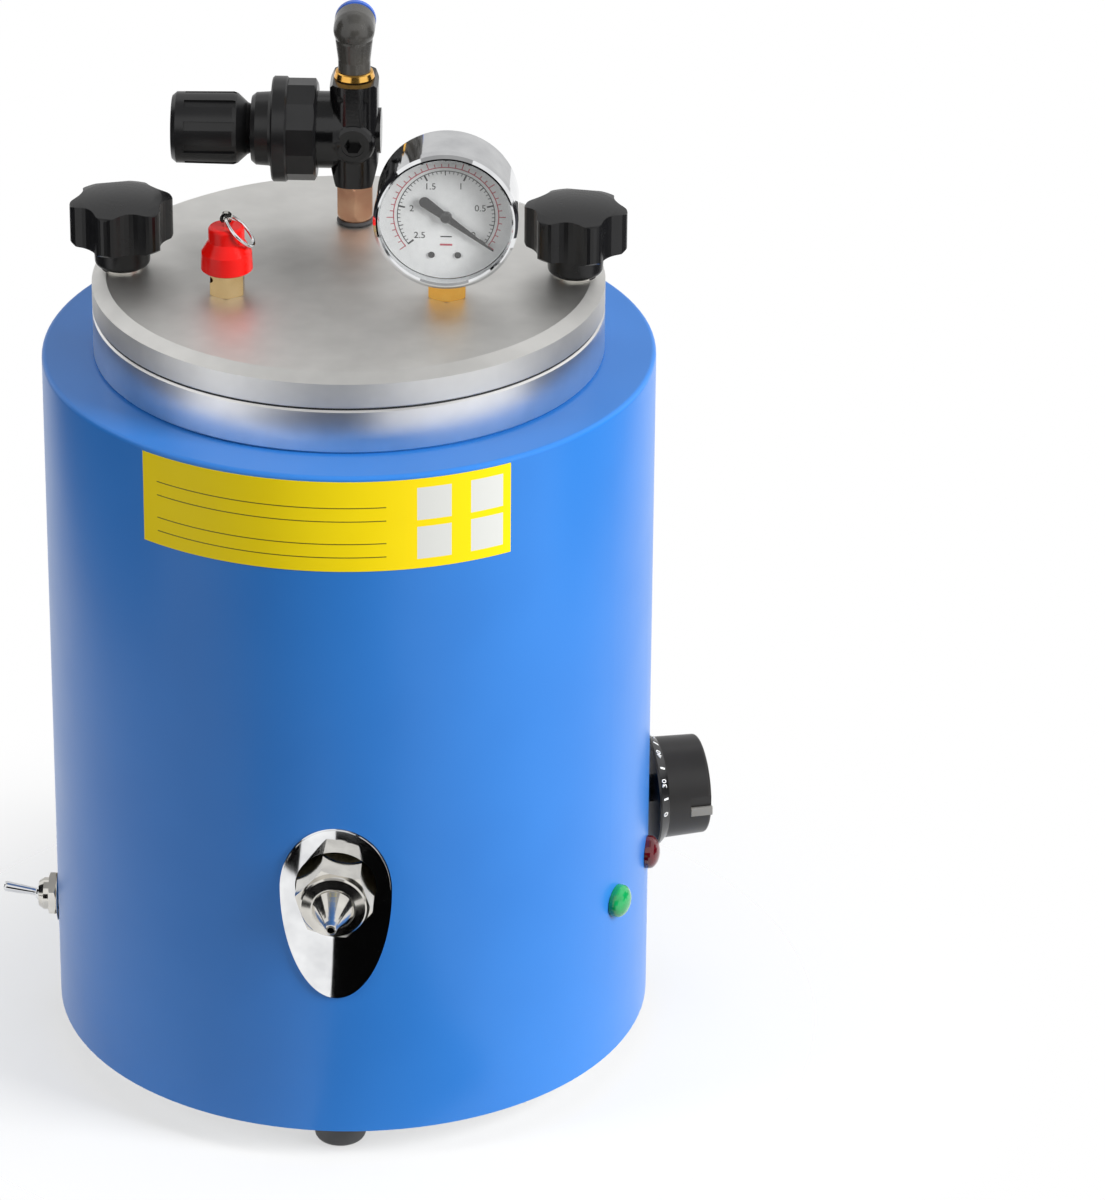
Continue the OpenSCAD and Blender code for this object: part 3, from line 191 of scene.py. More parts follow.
def new_material(name):
    """A material with an empty node tree, and that tree."""
    material = bpy.data.materials.new(name)
    material.use_nodes = True
    material.node_tree.nodes.clear()
    return material, material.node_tree


def close(tree, shader):
    """Leads the last shader to the material's output."""
    add(tree, "ShaderNodeOutputMaterial", {"Surface": shader.outputs[0]})


def two_tones(tree, factor, dark, light, low=0.3, high=0.7):
    """A ramp from one colour to another over part of a pattern's range."""
    ramp = add(tree, "ShaderNodeValToRGB", {"Fac": factor})
    ramp.color_ramp.elements[0].position = low
    ramp.color_ramp.elements[0].color = linear(dark)
    ramp.color_ramp.elements[1].position = high
    ramp.color_ramp.elements[1].color = linear(light)
    return ramp.outputs["Color"]


def spread(tree, factor, low, high):
    """A pattern from 0 to 1 turned into a value between low and high."""
    return add(tree, "ShaderNodeMapRange", {"Value": factor},
               {"To Min": low, "To Max": high}).outputs["Result"]


def grain(tree, size_mm, detail=2.0, stretch=(1.0, 1.0, 1.0)):
    """Noise whose lumps are about size_mm across, on the piece's own coordinates in metres."""
    place = add(tree, "ShaderNodeTexCoord").outputs["Object"]
    mapped = add(tree, "ShaderNodeMapping", {"Vector": place}, {"Scale": stretch})
    return add(tree, "ShaderNodeTexNoise", {"Vector": mapped.outputs["Vector"]},
               {"Scale": 1.0 / (size_mm * MM), "Detail": detail}).outputs["Fac"]


def bump(tree, height, depth_mm):
    """Relief of a pattern, as a normal."""
    return add(tree, "ShaderNodeBump", {"Height": height},
               {"Strength": 1.0, "Distance": depth_mm * MM}).outputs["Normal"]


def moulded(name, dark, light, rough, grit_mm=0.35, depth_mm=0.01, mottle_mm=14.0,
            coat=0.0, specular=0.5):
    """Moulded plastic or rubber: an even colour, faintly mottled, with the mould's fine grit."""
    material, tree = new_material(name)
    colour = two_tones(tree, grain(tree, mottle_mm), dark, light)
    grit = grain(tree, grit_mm, 3.0)
    shader = add(tree, "ShaderNodeBsdfPrincipled",
                 {"Base Color": colour, "Roughness": spread(tree, grain(tree, 6.0), *rough),
                  "Normal": bump(tree, grit, depth_mm)},
                 {"Coat Weight": coat, "Coat Roughness": 0.08, "Specular IOR Level": specular})
    close(tree, shader)
    return material


def plated(name, dark, light, rough, cloud_mm=9.0, scratch_mm=0.25, depth_mm=0.0006):
    """Plated metal: a clear mirror with faint clouds and hairlines from polishing."""
    material, tree = new_material(name)
    colour = two_tones(tree, grain(tree, cloud_mm), dark, light)
    hairs = grain(tree, scratch_mm, 2.0, (1.0, 1.0, 0.06))
    shader = add(tree, "ShaderNodeBsdfPrincipled",
                 {"Base Color": colour, "Roughness": spread(tree, grain(tree, cloud_mm), *rough),
                  "Normal": bump(tree, hairs, depth_mm)},
                 {"Metallic": 1.0})
    close(tree, shader)
    return material


# Length of one ring of Blender's wave texture at scale 1
WAVE_RING = math.tau / 20.0


def turned_metal(name, dark, light, rough, pitch_mm, depth_mm, centre=(0.0, 0.0, 0.0)):
    """Metal turned on a lathe: rings round its upright axis, which stretch a highlight."""
    material, tree = new_material(name)
    place = add(tree, "ShaderNodeTexCoord").outputs["Object"]
    mapped = add(tree, "ShaderNodeMapping", {"Vector": place},
                 {"Location": [-c * MM for c in centre]})
    rings = add(tree, "ShaderNodeTexWave", {"Vector": mapped.outputs["Vector"]},
                {"Scale": WAVE_RING / (pitch_mm * MM), "Distortion": 0.6,
                 "Detail": 2.0, "Detail Scale": 1.4},
                wave_type="RINGS", rings_direction="Z", wave_profile="SIN")
    colour = two_tones(tree, grain(tree, 11.0), dark, light)
    shader = add(tree, "ShaderNodeBsdfPrincipled",
                 {"Base Color": colour, "Roughness": spread(tree, grain(tree, 5.0), *rough),
                  "Normal": bump(tree, rings.outputs["Fac"], depth_mm)},
                 {"Metallic": 1.0})
    close(tree, shader)
    return material


def powder_coat():
    """Powder coat on steel sheet: satin blue, with the shallow orange peel of a baked coat."""
    material, tree = new_material("powder_coat_blue")
    colour = two_tones(tree, grain(tree, 60.0), "#2C77CA", "#307CD0")
    shader = add(tree, "ShaderNodeBsdfPrincipled",
                 {"Base Color": colour, "Roughness": spread(tree, grain(tree, 20.0), 0.30, 0.36),
                  "Normal": bump(tree, grain(tree, 1.6), 0.012)},
                 {"Specular IOR Level": 0.4, "Coat Weight": 0.12, "Coat Roughness": 0.22})
    close(tree, shader)
    return material


def lens(name, dark, light):
    """Moulded acrylic lens: a deep colour, a little milky inside, with a wet shine."""
    material, tree = new_material(name)
    colour = two_tones(tree, grain(tree, 4.0), dark, light)
    shader = add(tree, "ShaderNodeBsdfPrincipled",
                 {"Base Color": colour, "Roughness": spread(tree, grain(tree, 2.0), 0.04, 0.09)},
                 {"Coat Weight": 0.6, "Coat Roughness": 0.03, "Subsurface Weight": 0.15,
                  "Subsurface Radius": (0.004, 0.004, 0.004), "Subsurface Scale": 0.6})
    close(tree, shader)
    return material


# Share of the window that reflects; the rest lets the dial be seen unchanged
WINDOW_SHINE = 0.5


def window_glass():
    """Flat float glass: clear, with a thin sharp reflection."""
    material, tree = new_material("gauge_float_glass")
    clear = add(tree, "ShaderNodeBsdfTransparent", None, {"Color": linear("#FBFCFC")})
    smears = spread(tree, grain(tree, 8.0), 0.01, 0.03)
    shine = add(tree, "ShaderNodeBsdfPrincipled", {"Roughness": smears},
                {"Base Color": linear("#FFFFFF"), "Metallic": 0.0, "Alpha": 0.12,
                 "Specular IOR Level": 0.5})
    mix = add(tree, "ShaderNodeMixShader",
              {1: clear.outputs[0], 2: shine.outputs[0]}, {0: WINDOW_SHINE})
    close(tree, mix)
    return material


def mineral_wool():
    """Mineral-wool felt: short matted fibres, so a rough, broken surface."""
    material, tree = new_material("mineral_wool_felt")
    fibres = grain(tree, 0.9, 6.0, (1.0, 1.0, 0.3))
    shader = add(tree, "ShaderNodeBsdfPrincipled",
                 {"Base Color": two_tones(tree, fibres, "#A69B79", "#CFC6A6"),
                  "Normal": bump(tree, fibres, 0.4)}, {"Roughness": 0.95})
    close(tree, shader)
    return material


def print_ink(name, dark, light, rough=0.45):
    """Screen-printed ink: flat and even, a little softer than the gloss round it."""
    material, tree = new_material(name)
    shader = add(tree, "ShaderNodeBsdfPrincipled",
                 {"Base Color": two_tones(tree, grain(tree, 2.0), dark, light)},
                 {"Roughness": rough})
    close(tree, shader)
    return material


materials = {
    "blue_enamel": powder_coat(),
    # Turned: soft grey reflections, drawn out by the fine rings
    "turned_aluminium": turned_metal("turned_aluminium", "#ECEBEA", "#F4F3F2", (0.32, 0.36),
                                     0.8, 0.0002),
    # Bright chrome plate: a dark and light mirror with a cold tone
    "chrome": plated("chrome_plate", "#DCDDDF", "#F2F3F4", (0.03, 0.07)),
    # Bright nickel: as chrome, but a little warmer and softer
    "nickel_steel": plated("nickel_plate", "#C9C6C0", "#E2DFD8", (0.08, 0.16)),
    # Zinc plate on steel: pale grey with a dull bloom
    "zinc_steel": plated("zinc_plate", "#AEB1B4", "#C6C9CC", (0.25, 0.4)),
    # Turned brass: fine rings from the lathe and a light yellow
    "brass": turned_metal("turned_brass", "#CFAE7A", "#E0C492", (0.2, 0.28), 0.5, 0.001,
                          tuple(port_place(VALVE_PORT))),
    # The same brass, bright and deeper in tone
    "gold_brass": turned_metal("bright_brass", "#EAA848", "#FBC566", (0.16, 0.24), 0.5, 0.001,
                               tuple(port_place(GAUGE_PORT))),
    # Copper flash on brass: a rose tone, half dull
    "copper": plated("copper_flash", "#D09A7C", "#E8BA98", (0.2, 0.28)),
    # Seals, feet and the jacket's wool, then the plastic mouldings
    "silicone": moulded("moulded_silicone", "#242424", "#2C2C2C", (0.5, 0.6)),
    "foot_rubber": moulded("moulded_rubber", "#434344", "#4E4E4F", (0.5, 0.62), 0.4, 0.02),
    "mineral_wool": mineral_wool(),
    "black_moulding": moulded("moulded_polyamide", "#1C1C1E", "#232325", (0.38, 0.48)),
    "knob_black": moulded("moulded_phenolic", "#1B1A19", "#22201F", (0.3, 0.38), 0.3, 0.008),
    "skirt_black": moulded("moulded_gloss_skirt", "#171718", "#1D1D1E", (0.16, 0.24)),
    "star_black": moulded("moulded_phenolic_gloss", "#0B0B0C", "#101011", (0.22, 0.3), 0.3,
                          0.006, specular=0.4),
    "regulator_black": moulded("black_enamel_on_die_casting", "#080809", "#0E0E0F", (0.12, 0.2),
                               0.9, 0.03),
    "regulator_plastic": moulded("moulded_acetal_black", "#0E0E0F", "#141415", (0.26, 0.34)),
    # Coloured: the valve's cap and the signal lamps
    "red_cap": moulded("moulded_red_cap", "#D60A04", "#DE0E07", (0.2, 0.28), 0.4, 0.006,
                       specular=0.35),
    "green_lens": lens("acrylic_lens_green", "#0B8F4B", "#14A75C"),
    "red_lens": lens("acrylic_lens_red", "#4E0410", "#640915"),
    # The gauge: dial, needle and window
    "dial_white": print_ink("white_dial_enamel", "#EFEFEF", "#F6F6F6", 0.4),
    "needle_black": print_ink("black_needle_enamel", "#141414", "#1B1B1B", 0.35),
    "window_glass": window_glass(),
    # The hose elbow and its release collar
    "elbow_grey": moulded("moulded_nylon_grey", "#3A3937", "#45433F", (0.24, 0.32), 0.4, 0.008,
                          coat=0.2),
    "blue_collar": moulded("moulded_acetal_blue", "#3F68C8", "#4D74D0", (0.3, 0.4)),
}
# The lid is brushed after turning, so it blurs what stands on it more than the rim does
lid_metal = turned_metal("brushed_aluminium", "#E6E5E2", "#EEEDEA", (0.46, 0.52), 0.8, 0.0002)
white_ink = print_ink("white_print_ink", "#E8E8E6", "#F2F2F0")
black_ink = print_ink("black_print_ink", "#1A1A1A", "#242424")
red_ink = print_ink("red_print_ink", "#B8404E", "#C65462")
pointer_grey = moulded("moulded_pointer_grey", "#7D7A74", "#8C8982", (0.35, 0.45))


def dress_nodes():
    """Gives every CAD node the finish of its slot in the record, and the lid its own."""
    for part in frame["record"]["subparts"]:
        nodes[part["node"]].data.materials.clear()
        nodes[part["node"]].data.materials.append(materials[part["material_slot"]])
    nodes["lid"].data.materials[0] = lid_metal


# ---- Label on the casing ----

# Heights of its edges in millimetres, and the angles of its ends from the front towards +X
LABEL_Z0 = 232.0
LABEL_Z1 = 265.3
LABEL_LEFT = -37.6
LABEL_RIGHT = 33.7
LABEL_T = 0.15
LABEL_LIFT = 0.02
LABEL_STEPS = 720

# The print: white squares in rows and columns, and thin rules to their left, in millimetres
# along the casing's round from its front, and in height
SQUARE = 12.0
SQUARE_LEFTS = (28.5, 47.5)
SQUARE_BOTTOMS = (235.5, 250.0)
RULE_T = 0.4
RULE_LEFT = -64.0
RULE_RIGHT = 18.0
RULE_BOTTOMS = (255.4, 250.4, 242.0, 237.0)


# Sockets of Blender's Mix node when it mixes colours
MIX_FACTOR, MIX_UNDER, MIX_OVER, MIX_RESULT = 0, 6, 7, 2


def paint_over(tree, under, mask, code):
    """A plain colour laid over another where the mask is 1."""
    mix = add(tree, "ShaderNodeMix", {MIX_FACTOR: mask, MIX_UNDER: under},
              {MIX_OVER: linear(code)}, data_type="RGBA")
    return mix.outputs[MIX_RESULT]


def label_print():
    """Vinyl label: yellow print under a satin film, with plain rules and four white squares.

    The pattern is worked out from the angle round the casing and the height, in millimetres."""
    material, tree = new_material("printed_vinyl_yellow")
    place = add(tree, "ShaderNodeTexCoord").outputs["Object"]
    axes = add(tree, "ShaderNodeSeparateXYZ", {"Vector": place}).outputs

    def calc(operation, a, b=0.0, clamp=False):
        """A step of arithmetic on sockets and plain numbers."""
        links = {i: v for i, v in enumerate((a, b)) if not isinstance(v, float)}
        values = {i: v for i, v in enumerate((a, b)) if isinstance(v, float)}
        return add(tree, "ShaderNodeMath", links, values, operation=operation,
                   use_clamp=clamp).outputs[0]

    back = calc("MULTIPLY", axes["Y"], -1.0)
    along = calc("MULTIPLY", calc("ARCTAN2", axes["X"], back), CASING_R)
    up = calc("MULTIPLY", axes["Z"], 1.0 / MM)

    def box(x0, x1, z0, z1):
        """1 inside a rectangle of the print, else 0."""
        half_w, half_h = (x1 - x0) / 2, (z1 - z0) / 2
        dx = calc("ABSOLUTE", calc("SUBTRACT", along, (x0 + x1) / 2))
        dz = calc("ABSOLUTE", calc("SUBTRACT", up, (z0 + z1) / 2))
        return calc("MULTIPLY", calc("LESS_THAN", dx, half_w), calc("LESS_THAN", dz, half_h))

    def any_of(boxes):
        """1 inside at least one of the rectangles, else 0."""
        total = boxes[0]
        for other in boxes[1:]:
            total = calc("ADD", total, other, True)
        return total

    squares = any_of([box(x, x + SQUARE, z, z + SQUARE)
                      for x in SQUARE_LEFTS for z in SQUARE_BOTTOMS])
    rules = any_of([box(RULE_LEFT, RULE_RIGHT, z, z + RULE_T) for z in RULE_BOTTOMS])
    ground = two_tones(tree, grain(tree, 30.0), "#F6DA08", "#FADF0C")
    ruled = paint_over(tree, ground, rules, "#6E651C")
    printed = paint_over(tree, ruled, squares, "#D6D7D3")
    shader = add(tree, "ShaderNodeBsdfPrincipled",
                 {"Base Color": printed,
                  "Roughness": spread(tree, grain(tree, 15.0), 0.3, 0.4)},
                 {"Specular IOR Level": 0.3})
    close(tree, shader)
    return material


def make_label():
    """A band of a cylinder, cut to the label's length, with the film's thickness."""
    clear_selection()
    bpy.ops.mesh.primitive_cylinder_add(
        vertices=LABEL_STEPS, radius=(CASING_R + LABEL_LIFT) * MM,
        depth=(LABEL_Z1 - LABEL_Z0) * MM, end_fill_type="NOTHING",
        location=(0.0, 0.0, (LABEL_Z0 + LABEL_Z1) / 2 * MM))
    label = settle(bpy.context.object, "label")

    def beyond_the_ends(centre):
        return not LABEL_LEFT < math.degrees(math.atan2(centre.x, -centre.y)) < LABEL_RIGHT

    select_faces(label, beyond_the_ends)
    bpy.ops.mesh.delete(type="FACE")
    bpy.ops.mesh.select_all(action="SELECT")
    bpy.ops.mesh.normals_make_consistent(inside=False)
    bpy.ops.object.mode_set(mode="OBJECT")
    apply_modifier(label, "SOLIDIFY", thickness=LABEL_T * MM, offset=1.0)
    dress(label, label_print(), "base")


# ---- Printed marks ----

def upright(place):
    """A matrix that stands flat work up: its X to the right, its Y up, its Z to the front."""
    matrix = Matrix(((1, 0, 0, 0), (0, 0, -1, 0), (0, 1, 0, 0), (0, 0, 0, 1)))
    matrix.translation = Vector(place) * MM
    return matrix


def bar(width, height, thick, matrix):
    """A small flat bar, centred on its place."""
    clear_selection()
    bpy.ops.mesh.primitive_cube_add(size=1.0)
    obj = bpy.context.object
    obj.scale = (width * MM, height * MM, thick * MM)
    return settle(obj, "bar", matrix)


def numeral(text, height, thick, matrix):
    """A plain number as a flat mesh, centred on its place."""
    clear_selection()
    bpy.ops.object.text_add()
    obj = bpy.context.object
    obj.data.body = text
    obj.data.align_x = "CENTER"
    obj.data.align_y = "CENTER"
    obj.data.size = height * MM / 0.7
    obj.data.extrude = thick * MM / 2
    obj.data.resolution_u = 4
    bpy.ops.object.convert(target="MESH")
    return settle(bpy.context.object, "numeral", matrix)


def arc_line(radius, width, thick, start, end, matrix):
    """A thin line along part of a circle, between two angles from the right, anticlockwise."""
    clear_selection()
    bpy.ops.mesh.primitive_torus_add(major_segments=180, minor_segments=4,
                                     major_radius=radius * MM, minor_radius=width * MM / 2)
    obj = bpy.context.object
    obj.scale = (1.0, 1.0, thick / width)
    settle(obj, "arc")
    middle = math.radians((start + end) / 2)
    half = math.radians((end - start) / 2)

    def outside(centre):
        turn = math.atan2(centre.y, centre.x) - middle
        return abs((turn + math.pi) % math.tau - math.pi) > half

    select_faces(obj, outside)
    bpy.ops.mesh.delete(type="FACE")
    clear_selection()
    return settle(obj, "arc", matrix)


# Gauge, in millimetres and degrees: 0 at the needle's rest, then anticlockwise over the top.
# The black scale has six numbers, and the red one outside it has no numbers
DIAL_CENTRE = port_place(GAUGE_PORT) + Vector((0.0, -10.0, 33.4))
SCALE_START = -37.0
SCALE_STEP = 51.2
SCALE_NUMBERS = ("0", "0.5", "1", "1.5", "2", "2.5")
SCALE_END = SCALE_START + (len(SCALE_NUMBERS) - 1) * SCALE_STEP
SCALE_R = 16.6
RED_SCALE_R = SCALE_R + 1.3
TICKS_PER_STEP = 10
RED_TICKS = 35
NUMBER_H = 2.3
NUMBER_R = 12.0
END_NUMBER_R = 11.6
INK_T = 0.06
DIAL_SCREW_R = 1.15
DIAL_SCREW_T = 0.5
DIAL_SCREW_XS = (-5.0, 4.0)
DIAL_SCREW_Y = -14.4


def around(angle, radius, matrix):
    """A place on the dial at an angle and a distance from its centre, turned to point outwards."""
    return matrix @ Matrix.Rotation(math.radians(angle), 4, "Z") \
        @ Matrix.Translation((radius * MM, 0.0, 0.0))


def black_tick(i):
    """Length and width of a tick of the black scale: whole, half and tenth steps."""
    if i % TICKS_PER_STEP == 0:
        return 2.3, 0.6
    if i % (TICKS_PER_STEP // 2) == 0:
        return 1.6, 0.35
    return 1.0, 0.25


def print_dial():
    """Both scales, the numbers and two short dashes, printed on the dial in two inks."""
    face = upright(DIAL_CENTRE + Vector((0.0, -INK_T / 2, 0.0)))
    sweep = SCALE_END - SCALE_START
    black = [arc_line(SCALE_R, 0.3, INK_T, SCALE_START, SCALE_END, face)]
    red = [arc_line(RED_SCALE_R, 0.35, INK_T, SCALE_START, SCALE_END, face)]
    ticks = (len(SCALE_NUMBERS) - 1) * TICKS_PER_STEP
    for i in range(ticks + 1):
        length, width = black_tick(i)
        place = around(SCALE_START + i * sweep / ticks, SCALE_R - length / 2, face)
        black.append(bar(length, width, INK_T, place))
    for i in range(RED_TICKS + 1):
        length = 2.4 if i % 5 == 0 else 1.3
        place = around(SCALE_START + i * sweep / RED_TICKS, RED_SCALE_R + length / 2, face)
        red.append(bar(length, 0.3, INK_T, place))
    for i, text in enumerate(SCALE_NUMBERS):
        angle = math.radians(SCALE_START + i * SCALE_STEP)
        reach = END_NUMBER_R if i in (0, len(SCALE_NUMBERS) - 1) else NUMBER_R
        place = face @ Matrix.Translation((reach * math.cos(angle) * MM,
                                           reach * math.sin(angle) * MM, 0.0))
        black.append(numeral(text, NUMBER_H, INK_T, place))
    black.append(bar(3.9, 0.4, INK_T, face @ Matrix.Translation((0.0, -7.6 * MM, 0.0))))
    red.append(bar(4.2, 0.7, INK_T, face @ Matrix.Translation((0.0, -10.6 * MM, 0.0))))
    dress(join(black, "dial_marks_black"), black_ink, "lid")
    dress(join(red, "dial_marks_red"), red_ink, "lid")


def add_dial_screws():
    """Two small black screws that hold the dial in its case."""
    face = upright(DIAL_CENTRE + Vector((0.0, -INK_T / 2, 0.0)))
    screws = []
    for x in DIAL_SCREW_XS:
        clear_selection()
        bpy.ops.mesh.primitive_cylinder_add(vertices=24, radius=DIAL_SCREW_R * MM,
                                            depth=DIAL_SCREW_T * MM)
        place = face @ Matrix.Translation((x * MM, DIAL_SCREW_Y * MM, 0.2 * MM))
        head = settle(bpy.context.object, "dial_screw", place)
        apply_modifier(head, "BEVEL", width=0.2 * MM, segments=2)
        screws.append(head)
    dress(join(screws, "dial_screws"), materials["needle_black"], "lid")


# Thermostat: marks on the cone of the skirt, which runs from its rim up to the knob
SKIRT_LIFT = CASING_R + 5.0
SKIRT_R = 20.45
SKIRT_LEAN = 49.3
SKIRT_NUMBERS = ("0", "30", "40", "50", "60", "70", "80", "90", "100", "110")
SKIRT_STEP = 32.0
SKIRT_NUMBER_H = 2.4
SKIRT_NUMBER_T = 0.3
SKIRT_TICK = (0.7, 2.6, 0.12)


def on_skirt(angle):
    """A place on the skirt's cone, turned round the dial: its Y up the cone, its Z outwards."""
    return outward(DIAL_ANGLE, DIAL_Z, SKIRT_LIFT) \
        @ Matrix.Rotation(math.radians(angle), 4, "Z") \
        @ Matrix.Translation((0.0, SKIRT_R * MM, 0.0)) \
        @ Matrix.Rotation(math.radians(-SKIRT_LEAN), 4, "X")


def print_skirt():
    """A number at each step of the dial and a tick halfway to the next."""
    number_lift = Matrix.Translation((0.0, 0.35 * MM, 0.12 * MM))
    tick_lift = Matrix.Translation((0.0, 0.0, SKIRT_TICK[2] / 2 * MM))
    marks = []
    for i, text in enumerate(SKIRT_NUMBERS):
        angle = 90.0 - SKIRT_STEP * i
        marks.append(numeral(text, SKIRT_NUMBER_H, SKIRT_NUMBER_T, on_skirt(angle) @ number_lift))
        marks.append(bar(*SKIRT_TICK, on_skirt(angle - SKIRT_STEP / 2) @ tick_lift))
    dress(join(marks, "skirt_marks"), white_ink, "thermostat_dial")


# The knob's front, out from the casing: the skirt's gap and thickness, then the knob's height
KNOB_FRONT = CASING_R + 2.4 + 4.4 + 17.0
POINTER_SIZE = (1.3, 3.4, 8.2)
POINTER_PLACE = (-17.4, -2.2, -4.8)


def add_pointer():
    """A grey strip set in the knob's pointer recess."""
    place = outward(DIAL_ANGLE, DIAL_Z, KNOB_FRONT) @ Matrix.Translation(Vector(POINTER_PLACE) * MM)
    strip = bar(*POINTER_SIZE, place)
    strip.name = "pointer_strip"
    strip.data.name = "pointer_strip"
    apply_modifier(strip, "BEVEL", width=0.25 * MM, segments=2)
    dress(strip, pointer_grey, "thermostat_dial")


# ---- Small pieces of the lid ----

SEAL_R = 5.75
SEAL_WIRE_R = 0.78


def add_nipple_seal():
    """A rubber ring squeezed out between the lid and the regulator's nipple."""
    clear_selection()
    place = port_place(REGULATOR_PORT) + Vector((0.0, 0.0, 0.8))
    bpy.ops.mesh.primitive_torus_add(major_segments=64, minor_segments=16,
                                     major_radius=SEAL_R * MM, minor_radius=SEAL_WIRE_R * MM,
                                     location=place * MM)
    seal = settle(bpy.context.object, "nipple_seal")
    for polygon in seal.data.polygons:
        polygon.use_smooth = True
    dress(seal, materials["foot_rubber"], "lid")


# ---- Floor and light ----

FLOOR_R = 3.0
FLOOR_DROP = 0.0003
# Distances from the object's axis where the floor starts to fade and where it is clear, and
# the share of it that is clear under the object
FADE_START = 0.1
FADE_END = 0.26
FADE_UNDER = 0.55
# Light of the white room on surfaces; in reflections and as background it is full white
ROOM_LIGHT = 0.24


def add_floor():
    """A pale floor that fades into the white background, and keeps the object's shadow."""
    clear_selection()
    bpy.ops.mesh.primitive_circle_add(vertices=96, radius=FLOOR_R, fill_type="NGON",
                                      location=(0.0, 0.0, -FLOOR_DROP))
    floor = settle(bpy.context.object, "floor")
    material, tree = new_material("pale_floor")
    place = add(tree, "ShaderNodeTexCoord").outputs["Object"]
    away = add(tree, "ShaderNodeVectorMath", {0: place}, operation="LENGTH").outputs["Value"]
    fade = add(tree, "ShaderNodeMapRange", {"Value": away},
               {"From Min": FADE_START, "From Max": FADE_END, "To Min": FADE_UNDER},
               interpolation_type="SMOOTHSTEP")
    paint = add(tree, "ShaderNodeBsdfDiffuse", None, {"Color": linear("#F4F4F4")})
    clear = add(tree, "ShaderNodeBsdfTransparent", None, {"Color": WHITE})
    mix = add(tree, "ShaderNodeMixShader",
              {0: fade.outputs["Result"], 1: paint.outputs[0], 2: clear.outputs[0]})
    close(tree, mix)
    floor.data.materials.append(material)


def add_world():
    """A white room: full white where it is seen, reflected or seen through, and dimmer as light."""
    world = bpy.data.worlds.new("studio")
    bpy.context.scene.world = world
    world.use_nodes = True
    tree = world.node_tree
    tree.nodes.clear()
    path = add(tree, "ShaderNodeLightPath").outputs
    seen = add(tree, "ShaderNodeMath",
               {0: path["Is Camera Ray"], 1: path["Is Glossy Ray"]}, operation="ADD")
    seen = add(tree, "ShaderNodeMath",
               {0: seen.outputs[0], 1: path["Is Transmission Ray"]}, operation="ADD",
               use_clamp=True)
    room = add(tree, "ShaderNodeBackground", None, {"Color": WHITE, "Strength": ROOM_LIGHT})
    white = add(tree, "ShaderNodeBackground", None, {"Color": WHITE, "Strength": 1.0})
    mix = add(tree, "ShaderNodeMixShader",
              {0: seen.outputs[0], 1: room.outputs[0], 2: white.outputs[0]})
    add(tree, "ShaderNodeOutputWorld", {"Surface": mix.outputs[0]})


# Softboxes: place, target, width, height and watts. They don't show in reflections, where the
# cards below draw the shapes instead
SOFTBOXES = {
    "right_softbox": ((2.0, -0.85, 1.2), (0.0, 0.0, 0.15), 0.9, 1.6, 86.0),
    "left_softbox": ((-1.9, -0.9, 1.2), (0.0, 0.0, 0.15), 0.6, 1.6, 19.0),
    "top_softbox": ((0.1, 0.2, 2.2), (0.0, 0.0, 0.2), 1.4, 1.2, 9.0),
}
# Cards on the floor, for the upright metal to reflect: from x, to x, from y, to y and shade
FLOOR_CARDS = {
    "card_under_nozzle": (-0.013, 0.1, -0.35, -0.12, "#060606"),
    "card_left_of_nozzle": (-0.2, -0.075, -0.37, -0.30, "#060606"),
    "card_before_rim": (-0.42, 0.16, -0.95, -0.42, "#0E0E10"),
    "card_left_of_rim": (-1.4, -0.45, -0.25, 0.9, "#3C3C40"),
    "card_right_of_rim": (0.5, 1.4, -0.1, 0.8, "#4A4A4E"),
}
FLOOR_CARD_Z = 0.001
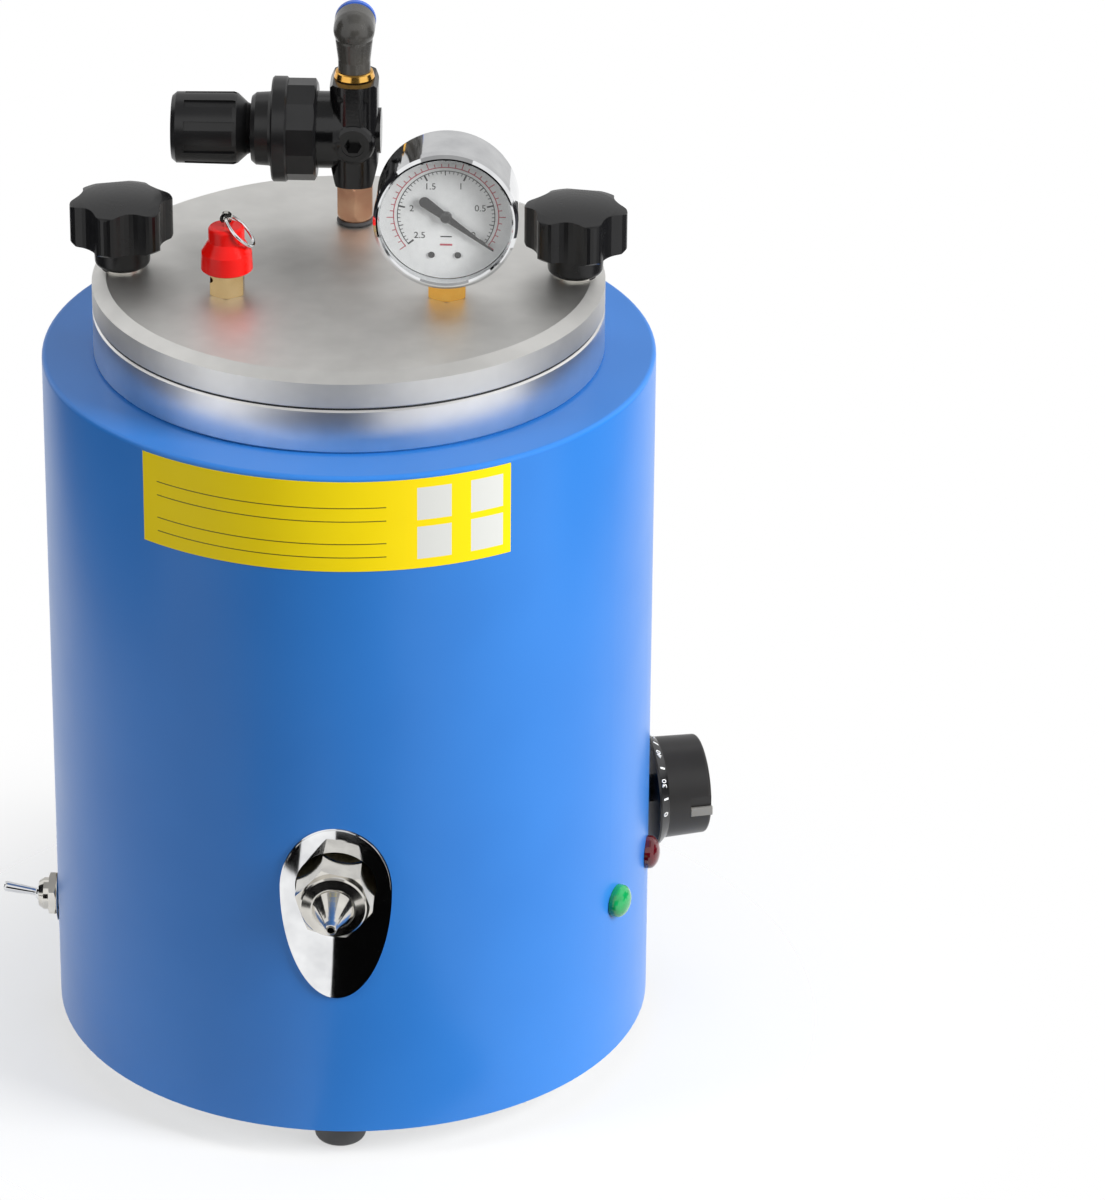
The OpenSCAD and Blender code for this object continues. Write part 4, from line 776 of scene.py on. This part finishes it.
# Cards round the object, which face CARD_TARGET: place, width, height and shade
CARDS = {
    "card_front": ((0.35, -2.6, 0.3), 2.4, 1.6, "#161617"),
    "card_left": ((-2.2, 0.2, 0.6), 1.6, 2.0, "#202022"),
    "card_right": ((2.3, 0.4, 0.2), 1.2, 1.2, "#2A2A2C"),
    "card_back": ((0.0, 3.0, 1.2), 5.0, 3.4, "#D2D2D2"),
    "card_top": ((0.0, -0.1, 2.8), 2.8, 2.8, "#A8A8A8"),
}
CARD_TARGET = (0.0, 0.0, 0.3)


def aim(obj, place, target):
    """Puts a lamp or card in its place and turns its face to the target."""
    obj.location = place
    obj.rotation_euler = (Vector(target) - Vector(place)).to_track_quat("-Z", "Y").to_euler()


def add_softbox(name, place, target, width, height, watts):
    data = bpy.data.lights.new(name, "AREA")
    data.shape = "RECTANGLE"
    data.size = width
    data.size_y = height
    data.energy = watts
    lamp = bpy.data.objects.new(name, data)
    lamp.visible_glossy = False
    bpy.context.scene.collection.objects.link(lamp)
    aim(lamp, place, target)


def add_card(name, place, target, width, height, shade):
    """A studio card that only shows in reflections, where it draws the shapes of metal."""
    clear_selection()
    bpy.ops.mesh.primitive_plane_add(size=1.0)
    card = bpy.context.object
    card.name = name
    card.scale = (width, height, 1.0)
    aim(card, place, target)
    card.visible_camera = False
    card.visible_diffuse = False
    card.visible_shadow = False
    card.visible_transmission = False
    material, tree = new_material(name)
    close(tree, add(tree, "ShaderNodeEmission", None, {"Color": linear(shade), "Strength": 1.0}))
    card.data.materials.append(material)


def add_studio():
    """The softboxes, then the cards on the floor, then the cards round the object."""
    for name, box in SOFTBOXES.items():
        add_softbox(name, *box)
    for name, (x0, x1, y0, y1, shade) in FLOOR_CARDS.items():
        place = ((x0 + x1) / 2, (y0 + y1) / 2, FLOOR_CARD_Z)
        below = (place[0], place[1], -1.0)
        add_card(name, place, below, x1 - x0, y1 - y0, shade)
    for name, (place, width, height, shade) in CARDS.items():
        add_card(name, place, CARD_TARGET, width, height, shade)


add_camera()
dress_nodes()
make_label()
print_dial()
add_dial_screws()
print_skirt()
add_pointer()
add_nipple_seal()
add_floor()
add_world()
add_studio()

bpy.context.scene.view_settings.view_transform = "Standard"
